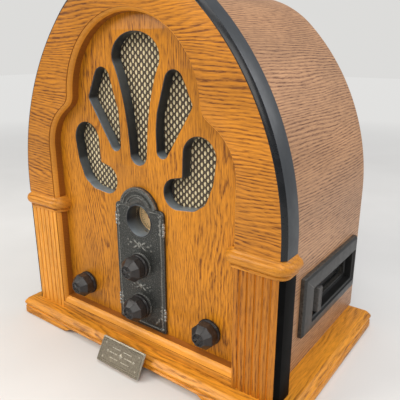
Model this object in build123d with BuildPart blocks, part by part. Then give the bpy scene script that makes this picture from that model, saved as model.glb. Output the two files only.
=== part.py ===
from build123d import *
import os
from math import atan2, cos, degrees, radians, sin, sqrt

os.makedirs("parts", exist_ok=True)

# A table-top cathedral radio with a side-loading cassette deck.
# Frame: +X to the viewer's right, the front faces -Y, +Z up. The origin is on the table,
# under the middle of the overall width and depth.
# A "depth" is measured back from the wooden front face.

# ------------------------------------------------------------------ driving dimensions (mm)
FRONT = -74.68  # y of the wooden front face; it centres the whole depth on the origin

BASE_HALF_WIDTH = 148.0
BASE_HALF_DEPTH = 94.0
PAD_HEIGHT = 1.0
LOWER_TOP = 8.5  # top of the lower base board
BASE_TOP = 16.0  # top of the upper base board

ARCH_HALF_WIDTH = 136.0  # outside of the black edge trim
ARCH_SPRING_Z = 134.0  # where the straight sides start to curve
ARCH_SIDE_R = 211.0
ARCH_TOP_R = 102.0
TRIM = 3.5  # thickness of the edge trim
TRIM_CHAMFER = 3.0
FRAME_DEPTH = 18.5  # front frame, pilasters and trim, front to back

OPENING_HALF_WIDTH = 97.5
SHOULDER_R = 41.0
SHOULDER_Z = 176.0
SHOULDER_ANGLE = 55.0
CROWN_R = 68.5
CROWN_Z = 218.5
WAIST_R = 11.0  # rounding where a shoulder meets the crown
BEVEL_STEP = 0.8  # small square step before the bevel
BEVEL_WIDTH = 2.6
BEVEL_DEPTH = 3.8
PANEL_DEPTH = 11.0  # depth of the recessed front panel
PANEL_THICKNESS = 10.0
PANEL_BACK = PANEL_DEPTH + PANEL_THICKNESS
REBATE = 7.0  # the panel reaches this far behind the frame

SILL_FRONT_Z = 22.5
SILL_RISE = 5.5  # height of the sill's own bevel
SILL_LEDGE_Z = SILL_FRONT_Z + SILL_RISE
CAPITAL_BOTTOM = 115.0
CAPITAL_TOP = 129.0

BODY_INSET = 10.0  # the cabinet stands in from the edge trim
WALL = 8.0
BODY_BACK = 175.0
COVER_DEPTH = 169.0
COVER_THICKNESS = 3.0
COVER_GAP = 0.3

KNOB_SIDE_X = 70.0
KNOB_LOW_Z = 48.0
TUNING_Z = 85.5
DIAL_Z = 125.0
SHAFT_R = 3.0
RUNNING_GAP = 0.05
BUSHING_R = 4.5
WINDOW_R = 13.5

SPEAKER_Z = 205.0
SLOT_LOW = 88.5  # the cassette slot, as depths
SLOT_HIGH = 155.5
WALL_OUTSIDE = ARCH_HALF_WIDTH - BODY_INSET  # x of the cabinet's right side
WALL_INSIDE = WALL_OUTSIDE - WALL

# base
PAD_X = 122.0
PAD_Y = 76.0
PAD_R = 9.0
CORNER_R = 5.0
NOSE_TOP = 4.0
NOSE_UNDER = 2.8
LOWER_INSET = 0.4
BEAD_LOW = 4.8
BEAD_HIGH = 5.6
APRON_RISE = 5.0
APRON_HALF = 76.0
APRON_EASE = 3.0  # the cut-out's corners: a shallow slope, then a steep one to the table
APRON_BEND = 5.0
APRON_BEND_Z = 2.8
APRON_FOOT = 9.0
BEAD_SINK = 0.9
LOWER_CHAMFER = 1.6

# nameplate on its wedge
PLATE_WIDTH = 48.5
PLATE_THICKNESS = 1.6
PLATE_TOP = (-13.5, 21.0)  # depth and height of the back face's top edge
PLATE_FOOT = (-24.5, 2.2)
NOSE_DEPTH = BODY_BACK - 2 * BASE_HALF_DEPTH  # front of the base
WEDGE_TOP_Z = 14.5
WEDGE_HALF_WIDTH = 17.0
PLATE_CHAMFER = 0.5

# front frame and its trim
FLUTE_COUNT = 5
FLUTE_PITCH = 6.1
FLUTE_FIRST = OPENING_HALF_WIDTH + 4.7
FLUTE_HALF = 0.85
FLUTE_DEPTH = 1.3
CAPITAL_INNER = 92.0  # the capitals overhang the pilasters' inner sides
CAPITAL_PROUD = 4.5
CAPITAL_STEP_Z = 118.5
CAPITAL_STEP_PROUD = 1.2
CAPITAL_CORNER_R = 4.0
CAPITAL_RIM_R = 3.8
CAPITAL_LIP_R = 3.2
LIP_REACH = 2.5  # the lip's edges lie this near the moulding's outline

# front panel and grille
PIN_R = 0.9
PIN_X = 23.2
PIN_LOW_Z = 32.0
PIN_HIGH_Z = 133.6
PIN_REACH = 5.0  # how far a pin goes into the wood
PIN_HEAD_R = 1.9
PIN_HEAD = 0.9
PIN_HEAD_CHAMFER = 0.5
SHAFT_PLACES = ((-KNOB_SIDE_X, KNOB_LOW_Z), (KNOB_SIDE_X, KNOB_LOW_Z), (0, KNOB_LOW_Z), (0, TUNING_Z))
PIN_PLACES = ((-PIN_X, PIN_LOW_Z), (PIN_X, PIN_LOW_Z), (-PIN_X, PIN_HIGH_Z), (PIN_X, PIN_HIGH_Z))
CROWN_MIDDLE_Z = 253.4  # the teardrop's broad crown is half an ellipse
CROWN_HALF_WIDTH = 25.0
CROWN_RISE = 18.6
CROWN_WRAP = 24.0  # degrees the crown reaches below its middle
TEAR_HOLLOW = (13.9, 216.5)  # a point on its hollow side
TEAR_FOOT_R = 9.6
TEAR_FOOT_Z = 179.8
WINDOW_LEDGE = 1.5  # the panel's window is wider than the escutcheon's
CLOTH_THICKNESS = 0.6
CLOTH_INSET = 4.0
CLOTH_WINDOW_GAP = 3.0
CLOTH_NOTCH = 54.0  # width of the cut-out that clears the dial
BAFFLE_INSET = 6.0
CLOTH_LOW_Z = 134.0
BAFFLE_FRONT = PANEL_BACK + CLOTH_THICKNESS
BAFFLE_THICKNESS = 6.0
BAFFLE_BACK = BAFFLE_FRONT + BAFFLE_THICKNESS
SPEAKER_HOLE_R = 45.0
FLANGE_R = 53.0
SPEAKER_SCREW_RING = 50.2
SCREW_R = 1.6
SCREW_HEAD_R = 2.6
BAFFLE_BOTTOM_Z = 154.5

# loudspeaker
FLANGE_THICKNESS = 1.5
BASKET_DEPTH = 24.0
MAGNET_R = 26.0
MAGNET_THICKNESS = 14.0
COIL_R = 9.0
CONE_R = 43.5
CONE_FOLD_R = 40.0  # where the cone turns over into its surround
COIL_INSIDE_R = COIL_R - 0.6
COIL_OUTSIDE_R = COIL_R + 0.1
COIL_BACK = BASKET_DEPTH + 4.0
COIL_FRONT = BASKET_DEPTH - 5.0
GAP_R = COIL_R + 1.0  # inside of the magnet's ring
POLE_R = COIL_R - 1.5
BASKET_MOUTH_R = 46.0
BASKET_RIM_R = 47.2
BASKET_SHEET = 1.5
BASKET_WINDOW_RING = 33.0
BASKET_WINDOW_LENGTH = 26.0
BASKET_WINDOW_WIDTH = 11.0
SCREW_LENGTH = 5.0
SCREW_HEAD = 2.0

# escutcheon and dial
ESCUTCHEON_HALF = 26.5
ESCUTCHEON_LOW = 28.4
ESCUTCHEON_SHOULDER = 137.5
ESCUTCHEON_ARCH_R = 20.5
ESCUTCHEON_ARCH_Z = 133.0
ESCUTCHEON_THICKNESS = 2.5
ESCUTCHEON_CORNER_R = 2.0
ESCUTCHEON_CHAMFER = 0.6
HOOD_INSET = 2.5  # from the arched top to the raised hood over the window
ESCUTCHEON_FACE = PANEL_DEPTH - ESCUTCHEON_THICKNESS
BOSS_R = 11.5
BOSS_HEIGHT = 1.2
NUT_CLEARANCE_R = 7.5
POST_X = 24.0
POST_LOW_Z = DIAL_Z - 21.0
POST_HIGH_Z = DIAL_Z + 22.0
POST_PLACES = ((-POST_X, POST_LOW_Z), (POST_X, POST_LOW_Z), (-POST_X, POST_HIGH_Z), (POST_X, POST_HIGH_Z))
POST_R = 2.5
DIAL_DEPTH = 24.0
DIAL_THICKNESS = 0.8
DIAL_WIDTH = 56.0
DIAL_HEIGHT = 52.0
DIAL_CORNER_R = 4.0
LENS_INSET = 1.0
LENS_THICKNESS = 1.2
POINTER_GAP = 0.6
POINTER_THICKNESS = 0.7
POINTER_LENGTH = 10.0
POINTER_WIDTH = 1.6
POINTER_MIDDLE = 7.0  # from the shaft to the middle of the hand
DRUM_DEPTH = 29.0
DRUM_WIDTH = 5.0
DRUM_R = 18.0
PULLEY_R = 6.0
WHEEL_RIM = 1.5  # how far a wheel's cheeks stand over its groove
WHEEL_CHEEK = 1.2
STUB_R = 1.5  # the drum shaft's thin end, which carries the pointer
FRAME_FRONT = 38.0  # front plate of the tuning capacitor
FRAME_BACK = 58.0
SHAFT_OVERHANG = 4.0  # the drum's shaft past the capacitor's back plate
STUB_START = DIAL_DEPTH + 2.0
STUB_LENGTH = 3.3
STATOR_WIDTH = 28.0
STATOR_HEIGHT = 15.0
STATOR_DROP = 12.0  # its middle, below the shaft
BACK_PLATE_WIDTH = 34.0
BACK_PLATE_HEIGHT = 40.0
CORD_GAP = 0.15
CORD = 0.8
VANE = 0.8
VANE_R = 13.0
STATOR_DEPTHS = (44.0, 48.0, 52.0)
ROTOR_DEPTHS = (42.0, 46.0, 50.0)
FRAME_PLATE = 1.5

# controls
CAN_R = 12.0
CAN_DEPTH = 10.0
TAG_WIDTH = 15.0
TAG_LENGTH = 6.0
TAG_THICKNESS = 2.0
SHAFT_CLEARANCE = 0.5
NUT_R = 6.4
HEX_R = 8.0
HEX_THICKNESS = 3.0
SHAFT_END = 26.0  # depth of a shaft's inner end
NUT_THICKNESS = 1.8
BUSHING_FRONT = PANEL_DEPTH - NUT_THICKNESS
KNOB_HEIGHT = 15.5
SKIRT_R = 10.8
SKIRT_HEIGHT = 2.4
COLLAR_R = 9.2
COLLAR_HEIGHT = 2.2
KNOB_R = 10.2
KNOB_TIP_R = 9.2
KNOB_POCKET_R = 7.2
KNOB_POCKET = 2.6
KNOB_BORE = 9.0
KNOB_CHAMFER = 1.9
SKIRT_CHAMFER = 0.8
KNOB_TURN = 22.5  # puts a flat, not a corner, on top
SIDE_SEAT = PANEL_DEPTH - 0.8
PLATE_SEAT = ESCUTCHEON_FACE - BOSS_HEIGHT - 0.5

# cabinet and its cover
BEZEL_LOW = 50.0  # the cassette bezel, as depths
BEZEL_HIGH = 162.0
BEZEL_BOTTOM = 43.0
BEZEL_TOP = 94.0
PLUG_LOW = 64.0
PLUG_HIGH = 160.0
PLUG_BOTTOM = 49.0
PLUG_TOP = 84.0
COVER_SCREW_R = 1.2
COVER_SCREW_INSET = BODY_INSET + WALL - 2.0
INLET_X = -60.0
INLET_Z = 36.0
INLET_WIDTH = 22.0
INLET_HEIGHT = 13.0
INLET_BODY = 18.0
INLET_LIP = 1.5
INLET_WELL = (14.6, 8.2)  # length and width of the socket
INLET_WELL_DEPTH = 14.0
CONTACT_R = 1.2
CONTACT_HALF_PITCH = 3.3
VENT_PITCH = 9.0
VENT_WIDTH = 3.4
SPEAKER_VENT = 96.0  # length and number of the slots behind the speaker
SPEAKER_VENTS = 9
DECK_VENT = 60.0  # and of those behind the cassette deck
DECK_VENTS = 5
COVER_SCREW_LENGTH = 5.0
COVER_HEAD_R = 1.9
COVER_HEAD = 1.4
COVER_SCREW_HOLE = 6.0

# electronics
BOARD_X = -58.0
BOARD_DEPTH_MIDDLE = 79.0
BOARD_WIDTH = 96.0
BOARD_LENGTH = 62.0
BOARD_Z = 24.0
BOARD_THICKNESS = 1.6
STANDOFF_R = 3.0
STANDOFF_INSET = 6.0
PART_HEIGHT = 14.0  # of the parts on the board
TRANSFORMER_X = -60.0
TRANSFORMER_DEPTH = 134.0
CORE_BOTTOM = 1.5
CORE_HEIGHT = 38.0
CORE_WIDTH = 46.0
CORE_LENGTH = 20.0
BRACKET_WIDTH = 62.0
COIL_WIDTH = 31.0
COIL_LENGTH = 36.0
COIL_MARGIN = 7.0  # from the core's end to the winding

# cassette deck
BEZEL_PROUD = 4.5
RECESS_LOW = 69.0
RECESS_HIGH = 156.8
RECESS_BOTTOM = 53.0
RECESS_TOP = 78.0
RECESS_FLOOR = WALL_OUTSIDE - 4.0
PLUG_BACK = WALL_INSIDE
SLOT_BOTTOM = 56.0
SLOT_TOP = 74.0
BUTTON_DEPTH = 79.5
BUTTON_Z = 65.5
STEM_R = 2.0
BUTTON_TRAVEL = 3.5
BUTTON_BACK = RECESS_FLOOR + BUTTON_TRAVEL + 0.3
BUTTON_FACE = WALL_OUTSIDE + BEZEL_PROUD + 0.5
BUTTON_HALF = 3.6
BUTTON_LOW_Z = 54.5
BUTTON_HIGH_Z = 76.5
BUTTON_ROUND = 1.2
STEM_LENGTH = 14.0
BEZEL_CHAMFER = 1.2
DECK_BOX = 20.0  # how far the slot and the stem's hole are cut in
DECK_PLATE_Z = 52.0
DECK_PLATE = 1.5
DECK_MIDDLE = 109.5
DECK_LENGTH = 97.0
DECK_LEG_R = 3.0
HEAD_WINDOW = (64.0, 63.5, 66.0, 20.0)  # x, z, width and height of the guide's window
DECK_LEFT = 12.0
DECK_RIGHT = PLUG_BACK - 0.5
GUIDE = 1.6
GUIDE_TOP = 80.0
FLAP_GAP = 0.4
FLAP_X = PLUG_BACK - 2.2
FLAP_Z = 73.6
FLAP_PIN_R = 1.0
FLAP_THICKNESS = 1.2
CAPSTAN_X = 44.0
CAPSTAN_DEPTH = 95.0
CAPSTAN_R = 1.25
SUPPLY_X = 43.0
TAKEUP_X = 85.5
REEL_DEPTH = 118.5
REEL_SHAFT_R = 2.0
REEL_DISC_R = 13.0
REEL_DISC_Z = 46.0
REEL_DISC = 3.0
REEL_CROWN_Z = 56.0
REEL_CROWN_R = 3.2
REEL_CROWN = 10.0
REEL_TOOTH = (2.6, 1.4)
REEL_CHAMFER = 0.5
MOTOR_X = 98.0
MOTOR_DEPTH = 134.0
MOTOR_SHAFT_R = 1.0
FLYWHEEL_R = 19.0
FLYWHEEL_Z = 26.0
FLYWHEEL_THICKNESS = 8.0
CAPSTAN_TOP = 69.0
BELT_GROOVE = 1.2
GROOVE_WIDTH = 2.0
MOTOR_R = 13.0
MOTOR_Z = 36.0
MOTOR_TOP = 45.8
MOTOR_BORE = 6.0
MOTOR_POST = (8.0, 5.0, 2.5)  # x and y from the shaft, and radius
PULLEY_SMALL_R = 4.0
BELT_Z = 30.0
BELT = 1.4
BELT_THICKNESS = 0.8
HEAD_PLATE_Z = 54.0
HEAD_PLATE = 1.2
HEAD_PLATE_X = 62.0
HEAD_PLATE_DEPTH = 74.0
HEAD_PLATE_WIDTH = 56.0
HEAD_PLATE_LENGTH = 15.0
HEAD_WIDTH = 13.0
HEAD_LENGTH = 9.0
HEAD_HEIGHT = 11.0
HEAD_NOSE_R = 2.5
AXLE_R = 1.0
AXLE_HEIGHT = 13.5
AXLE_BOSS_R = 3.0
HEAD_X = 66.0
HEAD_DEPTH = 80.5
ROLLER_X = CAPSTAN_X
ROLLER_R = 6.0
HEAD_TRAVEL = 6.0
ROLLER_DEPTH = CAPSTAN_DEPTH - CAPSTAN_R - 0.25 - ROLLER_R - HEAD_TRAVEL


def at(depth):
    """The y of a depth behind the wooden front face."""
    return FRONT + depth


def facing(depth):
    """A plane at a depth, looking out of the front: local x is +X and local y is +Z."""
    return Plane.XZ.offset(-at(depth))


def arch(inset, bottom):
    """The cathedral arch: straight sides, two side arcs and one top arc, all inset alike."""
    half = ARCH_HALF_WIDTH - inset
    side_x = ARCH_HALF_WIDTH - ARCH_SIDE_R
    rise = sqrt((ARCH_SIDE_R - ARCH_TOP_R) ** 2 - side_x**2)
    blend = degrees(atan2(rise, -side_x))
    with BuildSketch() as face:
        with BuildLine():
            Polyline((0, bottom), (half, bottom), (half, ARCH_SPRING_Z))
            CenterArc((side_x, ARCH_SPRING_Z), ARCH_SIDE_R - inset, 0, blend)
            CenterArc((0, ARCH_SPRING_Z + rise), ARCH_TOP_R - inset, blend, 90 - blend)
            mirror(about=Plane.YZ)
        make_face()
    return face.sketch


def opening(grow, bottom):
    """The opening of the front frame: straight sides, round shoulders and a round crown."""
    half = OPENING_HALF_WIDTH + grow
    shoulder_r = SHOULDER_R + grow
    shoulder_x = OPENING_HALF_WIDTH - SHOULDER_R
    crown_r = CROWN_R + grow
    angle = radians(SHOULDER_ANGLE)
    start_x = shoulder_x + shoulder_r * cos(angle)
    start_z = SHOULDER_Z + shoulder_r * sin(angle)
    along = sin(angle) * start_x - cos(angle) * (start_z - CROWN_Z)
    outside = start_x**2 + (start_z - CROWN_Z) ** 2 - crown_r**2
    run = along - sqrt(along**2 - outside)
    waist = (start_x - run * sin(angle), start_z + run * cos(angle))
    waist_angle = degrees(atan2(waist[1] - CROWN_Z, waist[0]))
    with BuildSketch() as face:
        with BuildLine():
            Polyline((0, bottom), (half, bottom), (half, SHOULDER_Z))
            CenterArc((shoulder_x, SHOULDER_Z), shoulder_r, 0, SHOULDER_ANGLE)
            Line((start_x, start_z), waist)
            CenterArc((0, CROWN_Z), crown_r, waist_angle, 90 - waist_angle)
            mirror(about=Plane.YZ)
        make_face()
        waists = face.vertices().filter_by(lambda v: abs(v.Y - waist[1]) < 0.01)
        fillet(waists, radius=WAIST_R - grow)
    return face.sketch


def hull(*circles):
    """The outline drawn tight around circles given as (x, z, radius)."""
    with BuildSketch() as face:
        for x, z, radius in circles:
            with Locations((x, z)):
                Circle(radius)
        make_hull()
    return face.sketch


# ------------------------------------------------------------------ base

BASE_MIDDLE = at(BODY_BACK - BASE_HALF_DEPTH)

with BuildPart() as base_upper:
    with BuildSketch(Plane.XY.offset(LOWER_TOP)):
        with Locations((0, BASE_MIDDLE)):
            Rectangle(2 * BASE_HALF_WIDTH, 2 * BASE_HALF_DEPTH)
    extrude(amount=BASE_TOP - LOWER_TOP)
    fillet(base_upper.edges().filter_by(Axis.Z), radius=CORNER_R)
    chamfer(base_upper.faces().sort_by(Axis.Z)[-1].edges(), length=NOSE_TOP)
    chamfer(base_upper.faces().sort_by(Axis.Z)[0].edges(), length=NOSE_UNDER)
base_upper.part.label = "base_upper"
export_step(base_upper.part, "parts/base_upper.step")


with BuildPart() as base_lower:
    for low, high, inset in (
        (PAD_HEIGHT, BEAD_LOW, LOWER_INSET),
        (BEAD_LOW, BEAD_HIGH, LOWER_INSET + BEAD_SINK),
        (BEAD_HIGH, LOWER_TOP, LOWER_INSET),
    ):
        with BuildSketch(Plane.XY.offset(low)):
            with Locations((0, BASE_MIDDLE)):
                Rectangle(2 * (BASE_HALF_WIDTH - inset), 2 * (BASE_HALF_DEPTH - inset))
        extrude(amount=high - low)
    chamfer(base_lower.faces().sort_by(Axis.Z)[-1].edges(), length=LOWER_CHAMFER)
    with BuildSketch(Plane.XZ.offset(-BASE_MIDDLE - BASE_HALF_DEPTH)):
        with BuildLine():
            Polyline(
                (0, 0),
                (APRON_HALF + APRON_FOOT, 0),
                (APRON_HALF + APRON_BEND, APRON_BEND_Z),
                (APRON_HALF - APRON_EASE, APRON_RISE),
                (0, APRON_RISE),
            )
            mirror(about=Plane.YZ)
        make_face()
    extrude(amount=2 * BASE_HALF_DEPTH, mode=Mode.SUBTRACT)
base_lower.part.label = "base_lower"
export_step(base_lower.part, "parts/base_lower.step")

with BuildPart() as foot_pads:
    with BuildSketch():
        with Locations((0, BASE_MIDDLE)):
            with GridLocations(2 * PAD_X, 2 * PAD_Y, 2, 2):
                Circle(PAD_R)
    extrude(amount=PAD_HEIGHT)
foot_pads.part.label = "foot_pads"
export_step(foot_pads.part, "parts/foot_pads.step")

# ------------------------------------------------------------------ nameplate on its wedge

plate_slope = (PLATE_FOOT[0] - PLATE_TOP[0]) / (PLATE_FOOT[1] - PLATE_TOP[1])
wedge_top_depth = PLATE_TOP[0] + plate_slope * (WEDGE_TOP_Z - PLATE_TOP[1])

with BuildPart() as nameplate_wedge:
    with BuildSketch(Plane.YZ.offset(-WEDGE_HALF_WIDTH)):
        Polygon(
            (at(NOSE_DEPTH), PLATE_FOOT[1]),
            (at(NOSE_DEPTH), WEDGE_TOP_Z),
            (at(wedge_top_depth), WEDGE_TOP_Z),
            (at(PLATE_FOOT[0]), PLATE_FOOT[1]),
            align=None,
        )
    extrude(amount=2 * WEDGE_HALF_WIDTH)
nameplate_wedge.part.label = "nameplate_wedge"
export_step(nameplate_wedge.part, "parts/nameplate_wedge.step")

plate_plane = Plane(
    origin=(0, at(PLATE_FOOT[0]), PLATE_FOOT[1]),
    x_dir=(1, 0, 0),
    z_dir=(0, -1, plate_slope),
)
plate_length = sqrt((PLATE_TOP[0] - PLATE_FOOT[0]) ** 2 + (PLATE_TOP[1] - PLATE_FOOT[1]) ** 2)

with BuildPart() as nameplate:
    with BuildSketch(plate_plane):
        Rectangle(PLATE_WIDTH, plate_length, align=(Align.CENTER, Align.MIN))
    extrude(amount=PLATE_THICKNESS)
    chamfer(nameplate.faces().sort_by(Axis.Y)[0].edges(), length=PLATE_CHAMFER)
nameplate.part.label = "nameplate"
export_step(nameplate.part, "parts/nameplate.step")

# ------------------------------------------------------------------ front frame and its trim

with BuildPart() as front_frame:
    with BuildSketch(facing(FRAME_DEPTH)):
        add(arch(TRIM, CAPITAL_TOP))
    extrude(amount=FRAME_DEPTH)
    with BuildSketch(facing(FRAME_DEPTH)):
        add(opening(-BEVEL_WIDTH, CAPITAL_TOP - 1))
    extrude(amount=FRAME_DEPTH, mode=Mode.SUBTRACT)
    with BuildSketch(facing(FRAME_DEPTH)):
        add(opening(REBATE, CAPITAL_TOP - 1))
    extrude(amount=FRAME_DEPTH - PANEL_DEPTH, mode=Mode.SUBTRACT)
    with BuildSketch(facing(BEVEL_STEP)):
        add(opening(0, CAPITAL_TOP - 1))
    extrude(amount=BEVEL_STEP, mode=Mode.SUBTRACT)
    with BuildSketch(facing(BEVEL_STEP)):
        add(opening(0, CAPITAL_TOP - 1))
    with BuildSketch(facing(BEVEL_STEP + BEVEL_DEPTH)):
        add(opening(-BEVEL_WIDTH, CAPITAL_TOP - 1))
    loft(ruled=True, mode=Mode.SUBTRACT)
front_frame.part.label = "front_frame"
export_step(front_frame.part, "parts/front_frame.step")

with BuildPart() as edge_trim:
    with BuildSketch(facing(FRAME_DEPTH)):
        add(arch(0, CAPITAL_TOP))
    extrude(amount=FRAME_DEPTH - TRIM_CHAMFER)
    with BuildSketch(facing(TRIM_CHAMFER)):
        add(arch(0, CAPITAL_TOP))
    with BuildSketch(facing(0)):
        add(arch(TRIM_CHAMFER, CAPITAL_TOP))
    loft(ruled=True)
    with BuildSketch(facing(FRAME_DEPTH)):
        add(arch(TRIM, CAPITAL_TOP - 1))
    extrude(amount=FRAME_DEPTH, mode=Mode.SUBTRACT)
    # the legs under the capitals are two more strips of the same section
    with BuildSketch(Plane.XY.offset(BASE_TOP)):
        Polygon(
            (ARCH_HALF_WIDTH - TRIM, at(0)),
            (ARCH_HALF_WIDTH - TRIM_CHAMFER, at(0)),
            (ARCH_HALF_WIDTH, at(TRIM_CHAMFER)),
            (ARCH_HALF_WIDTH, at(FRAME_DEPTH)),
            (ARCH_HALF_WIDTH - TRIM, at(FRAME_DEPTH)),
            align=None,
        )
        mirror(about=Plane.YZ)
    extrude(amount=CAPITAL_BOTTOM - BASE_TOP)
edge_trim.part.label = "edge_trim"
export_step(edge_trim.part, "parts/edge_trim.step")


def pilaster(name, side):
    """A fluted block beside the opening; side is -1 on the left and 1 on the right."""
    inner = OPENING_HALF_WIDTH - BEVEL_WIDTH
    outline = [
        (OPENING_HALF_WIDTH + REBATE, at(FRAME_DEPTH)),
        (OPENING_HALF_WIDTH + REBATE, at(PANEL_DEPTH)),
        (inner, at(PANEL_DEPTH)),
        (inner, at(BEVEL_STEP + BEVEL_DEPTH)),
        (OPENING_HALF_WIDTH, at(BEVEL_STEP)),
        (OPENING_HALF_WIDTH, at(0)),
    ]
    for index in range(FLUTE_COUNT):
        middle = FLUTE_FIRST + index * FLUTE_PITCH
        outline.append((middle - FLUTE_HALF, at(0)))
        outline.append((middle, at(FLUTE_DEPTH)))
        outline.append((middle + FLUTE_HALF, at(0)))
    outline.append((ARCH_HALF_WIDTH - TRIM, at(0)))
    outline.append((ARCH_HALF_WIDTH - TRIM, at(FRAME_DEPTH)))
    with BuildPart() as block:
        with BuildSketch(Plane.XY.offset(BASE_TOP)):
            Polygon(*[(side * x, y) for x, y in outline], align=None)
        extrude(amount=CAPITAL_BOTTOM - BASE_TOP)
        # the bevelled strip ends in a mitre where it meets the sill
        with BuildSketch(facing(PANEL_DEPTH)):
            Polygon(
                (side * OPENING_HALF_WIDTH, BASE_TOP),
                (side * OPENING_HALF_WIDTH, SILL_FRONT_Z),
                (side * inner, SILL_LEDGE_Z),
                (side * inner, BASE_TOP),
                align=None,
            )
        extrude(amount=PANEL_DEPTH, mode=Mode.SUBTRACT)
    block.part.label = name
    export_step(block.part, f"parts/{name}.step")


pilaster("pilaster_left", -1)
pilaster("pilaster_right", 1)


def is_free(edge, side):
    """True on a capital's free edges, not on those against the frame or the panel."""
    middle = edge @ 0.5
    in_front = middle.Y < at(PANEL_DEPTH) - 0.01
    beside = side * middle.X > ARCH_HALF_WIDTH + 0.5
    return in_front or beside and middle.Y < at(FRAME_DEPTH) - 0.01


def is_lip(edge, side):
    """True on the free lower edges of a capital's proud moulding."""
    middle = edge @ 0.5
    level = edge.bounding_box().size.Z < 0.01 and abs(middle.Z - CAPITAL_STEP_Z) < 0.01
    outer = side * middle.X > ARCH_HALF_WIDTH + CAPITAL_PROUD - LIP_REACH
    inner = side * middle.X < CAPITAL_INNER - CAPITAL_PROUD + LIP_REACH
    forward = middle.Y < at(-CAPITAL_STEP_PROUD) - 1.0
    return level and (outer or inner or forward) and is_free(edge, side)


def capital(name, side):
    """The half-round moulding over a pilaster; it wraps the front, both sides and the trim."""
    with BuildPart() as block:
        for low, high, proud in (
            (CAPITAL_BOTTOM, CAPITAL_STEP_Z, CAPITAL_STEP_PROUD),
            (CAPITAL_STEP_Z, CAPITAL_TOP, CAPITAL_PROUD),
        ):
            inner = CAPITAL_INNER - proud
            outer = ARCH_HALF_WIDTH + proud
            with BuildSketch(Plane.XY.offset(low)) as plan:
                Polygon(
                    (side * inner, at(PANEL_DEPTH)),
                    (side * inner, at(-proud)),
                    (side * outer, at(-proud)),
                    (side * outer, at(FRAME_DEPTH)),
                    (side * (OPENING_HALF_WIDTH + REBATE), at(FRAME_DEPTH)),
                    (side * (OPENING_HALF_WIDTH + REBATE), at(PANEL_DEPTH)),
                    align=None,
                )
                fillet(plan.vertices().group_by(Axis.Y)[0], radius=CAPITAL_CORNER_R + proud)
            extrude(amount=high - low)
        top_rim = block.faces().sort_by(Axis.Z)[-1].edges()
        round_rim = top_rim.filter_by(lambda edge: is_free(edge, side))
        fillet(round_rim, radius=CAPITAL_RIM_R)
        lip = block.edges().filter_by(lambda edge: is_lip(edge, side))
        fillet(lip, radius=CAPITAL_LIP_R)
    block.part.label = name
    export_step(block.part, f"parts/{name}.step")


capital("capital_left", -1)
capital("capital_right", 1)

with BuildPart() as sill_rail:
    sill_inner = OPENING_HALF_WIDTH - BEVEL_WIDTH
    with BuildSketch(facing(PANEL_DEPTH)):
        Polygon(
            (-OPENING_HALF_WIDTH, BASE_TOP),
            (OPENING_HALF_WIDTH, BASE_TOP),
            (OPENING_HALF_WIDTH, SILL_FRONT_Z),
            (sill_inner, SILL_LEDGE_Z),
            (-sill_inner, SILL_LEDGE_Z),
            (-OPENING_HALF_WIDTH, SILL_FRONT_Z),
            align=None,
        )
    extrude(amount=PANEL_DEPTH)
    with BuildSketch(Plane.YZ.offset(-OPENING_HALF_WIDTH)):
        Polygon(
            (at(0), SILL_FRONT_Z),
            (at(BEVEL_STEP), SILL_FRONT_Z),
            (at(BEVEL_STEP + BEVEL_DEPTH), SILL_LEDGE_Z),
            (at(0), SILL_LEDGE_Z),
            align=None,
        )
    extrude(amount=2 * OPENING_HALF_WIDTH, mode=Mode.SUBTRACT)
sill_rail.part.label = "sill_rail"
export_step(sill_rail.part, "parts/sill_rail.step")

# ------------------------------------------------------------------ front panel and grille

with BuildSketch() as teardrop:
    with BuildLine():
        crown = EllipticalCenterArc(
            (0, CROWN_MIDDLE_Z), CROWN_HALF_WIDTH, CROWN_RISE, start_angle=-CROWN_WRAP, arc_size=90 + CROWN_WRAP
        )
        side_curve = ThreePointArc(crown @ 0, TEAR_HOLLOW, (TEAR_FOOT_R, TEAR_FOOT_Z))
        CenterArc((0, TEAR_FOOT_Z), TEAR_FOOT_R, 0, -90)
        mirror(about=Plane.YZ)
    make_face()

petal_crown = (36.8, 236.3, 9.6)
petal_corner = (49.2, 221.0, 5.0)
petal_inner_high = (25.0, 212.0, 5.6)
petal_inner_low = (24.0, 200.5, 5.8)
petal_foot = (24.8, 185.2, 6.5)
petal = hull(petal_crown, petal_corner, petal_inner_high, petal_inner_low, petal_foot)
bean = hull((59.2, 185.2, 15.6), (60.5, 170.0, 12.2), (55.2, 158.3, 12.7))
bean_lobe = hull((37.4, 153.7, 13.0), (50.0, 156.0, 13.8))

with BuildSketch() as grille_openings:
    add(petal)
    add(bean)
    add(bean_lobe)
    mirror(about=Plane.YZ)
    add(teardrop.sketch)


with BuildPart() as front_panel:
    with BuildSketch(facing(PANEL_BACK)):
        add(opening(REBATE, BASE_TOP))
        add(grille_openings.sketch, mode=Mode.SUBTRACT)
        with Locations((0, DIAL_Z)):
            Circle(WINDOW_R + WINDOW_LEDGE, mode=Mode.SUBTRACT)
        with Locations(*SHAFT_PLACES):
            Circle(BUSHING_R, mode=Mode.SUBTRACT)
        with Locations(*PIN_PLACES):
            Circle(PIN_R, mode=Mode.SUBTRACT)
    extrude(amount=PANEL_THICKNESS)
front_panel.part.label = "front_panel"
export_step(front_panel.part, "parts/front_panel.step")


with BuildPart() as grille_cloth:
    with BuildSketch(facing(BAFFLE_FRONT)):
        add(opening(-CLOTH_INSET, CLOTH_LOW_Z))
        with Locations((0, DIAL_Z)):
            Circle(WINDOW_R + CLOTH_WINDOW_GAP, mode=Mode.SUBTRACT)
        with Locations((0, CLOTH_LOW_Z)):
            Rectangle(CLOTH_NOTCH, 2 * (BAFFLE_BOTTOM_Z - CLOTH_LOW_Z), mode=Mode.SUBTRACT)
    extrude(amount=CLOTH_THICKNESS)
grille_cloth.part.label = "grille_cloth"
export_step(grille_cloth.part, "parts/grille_cloth.step")

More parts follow.
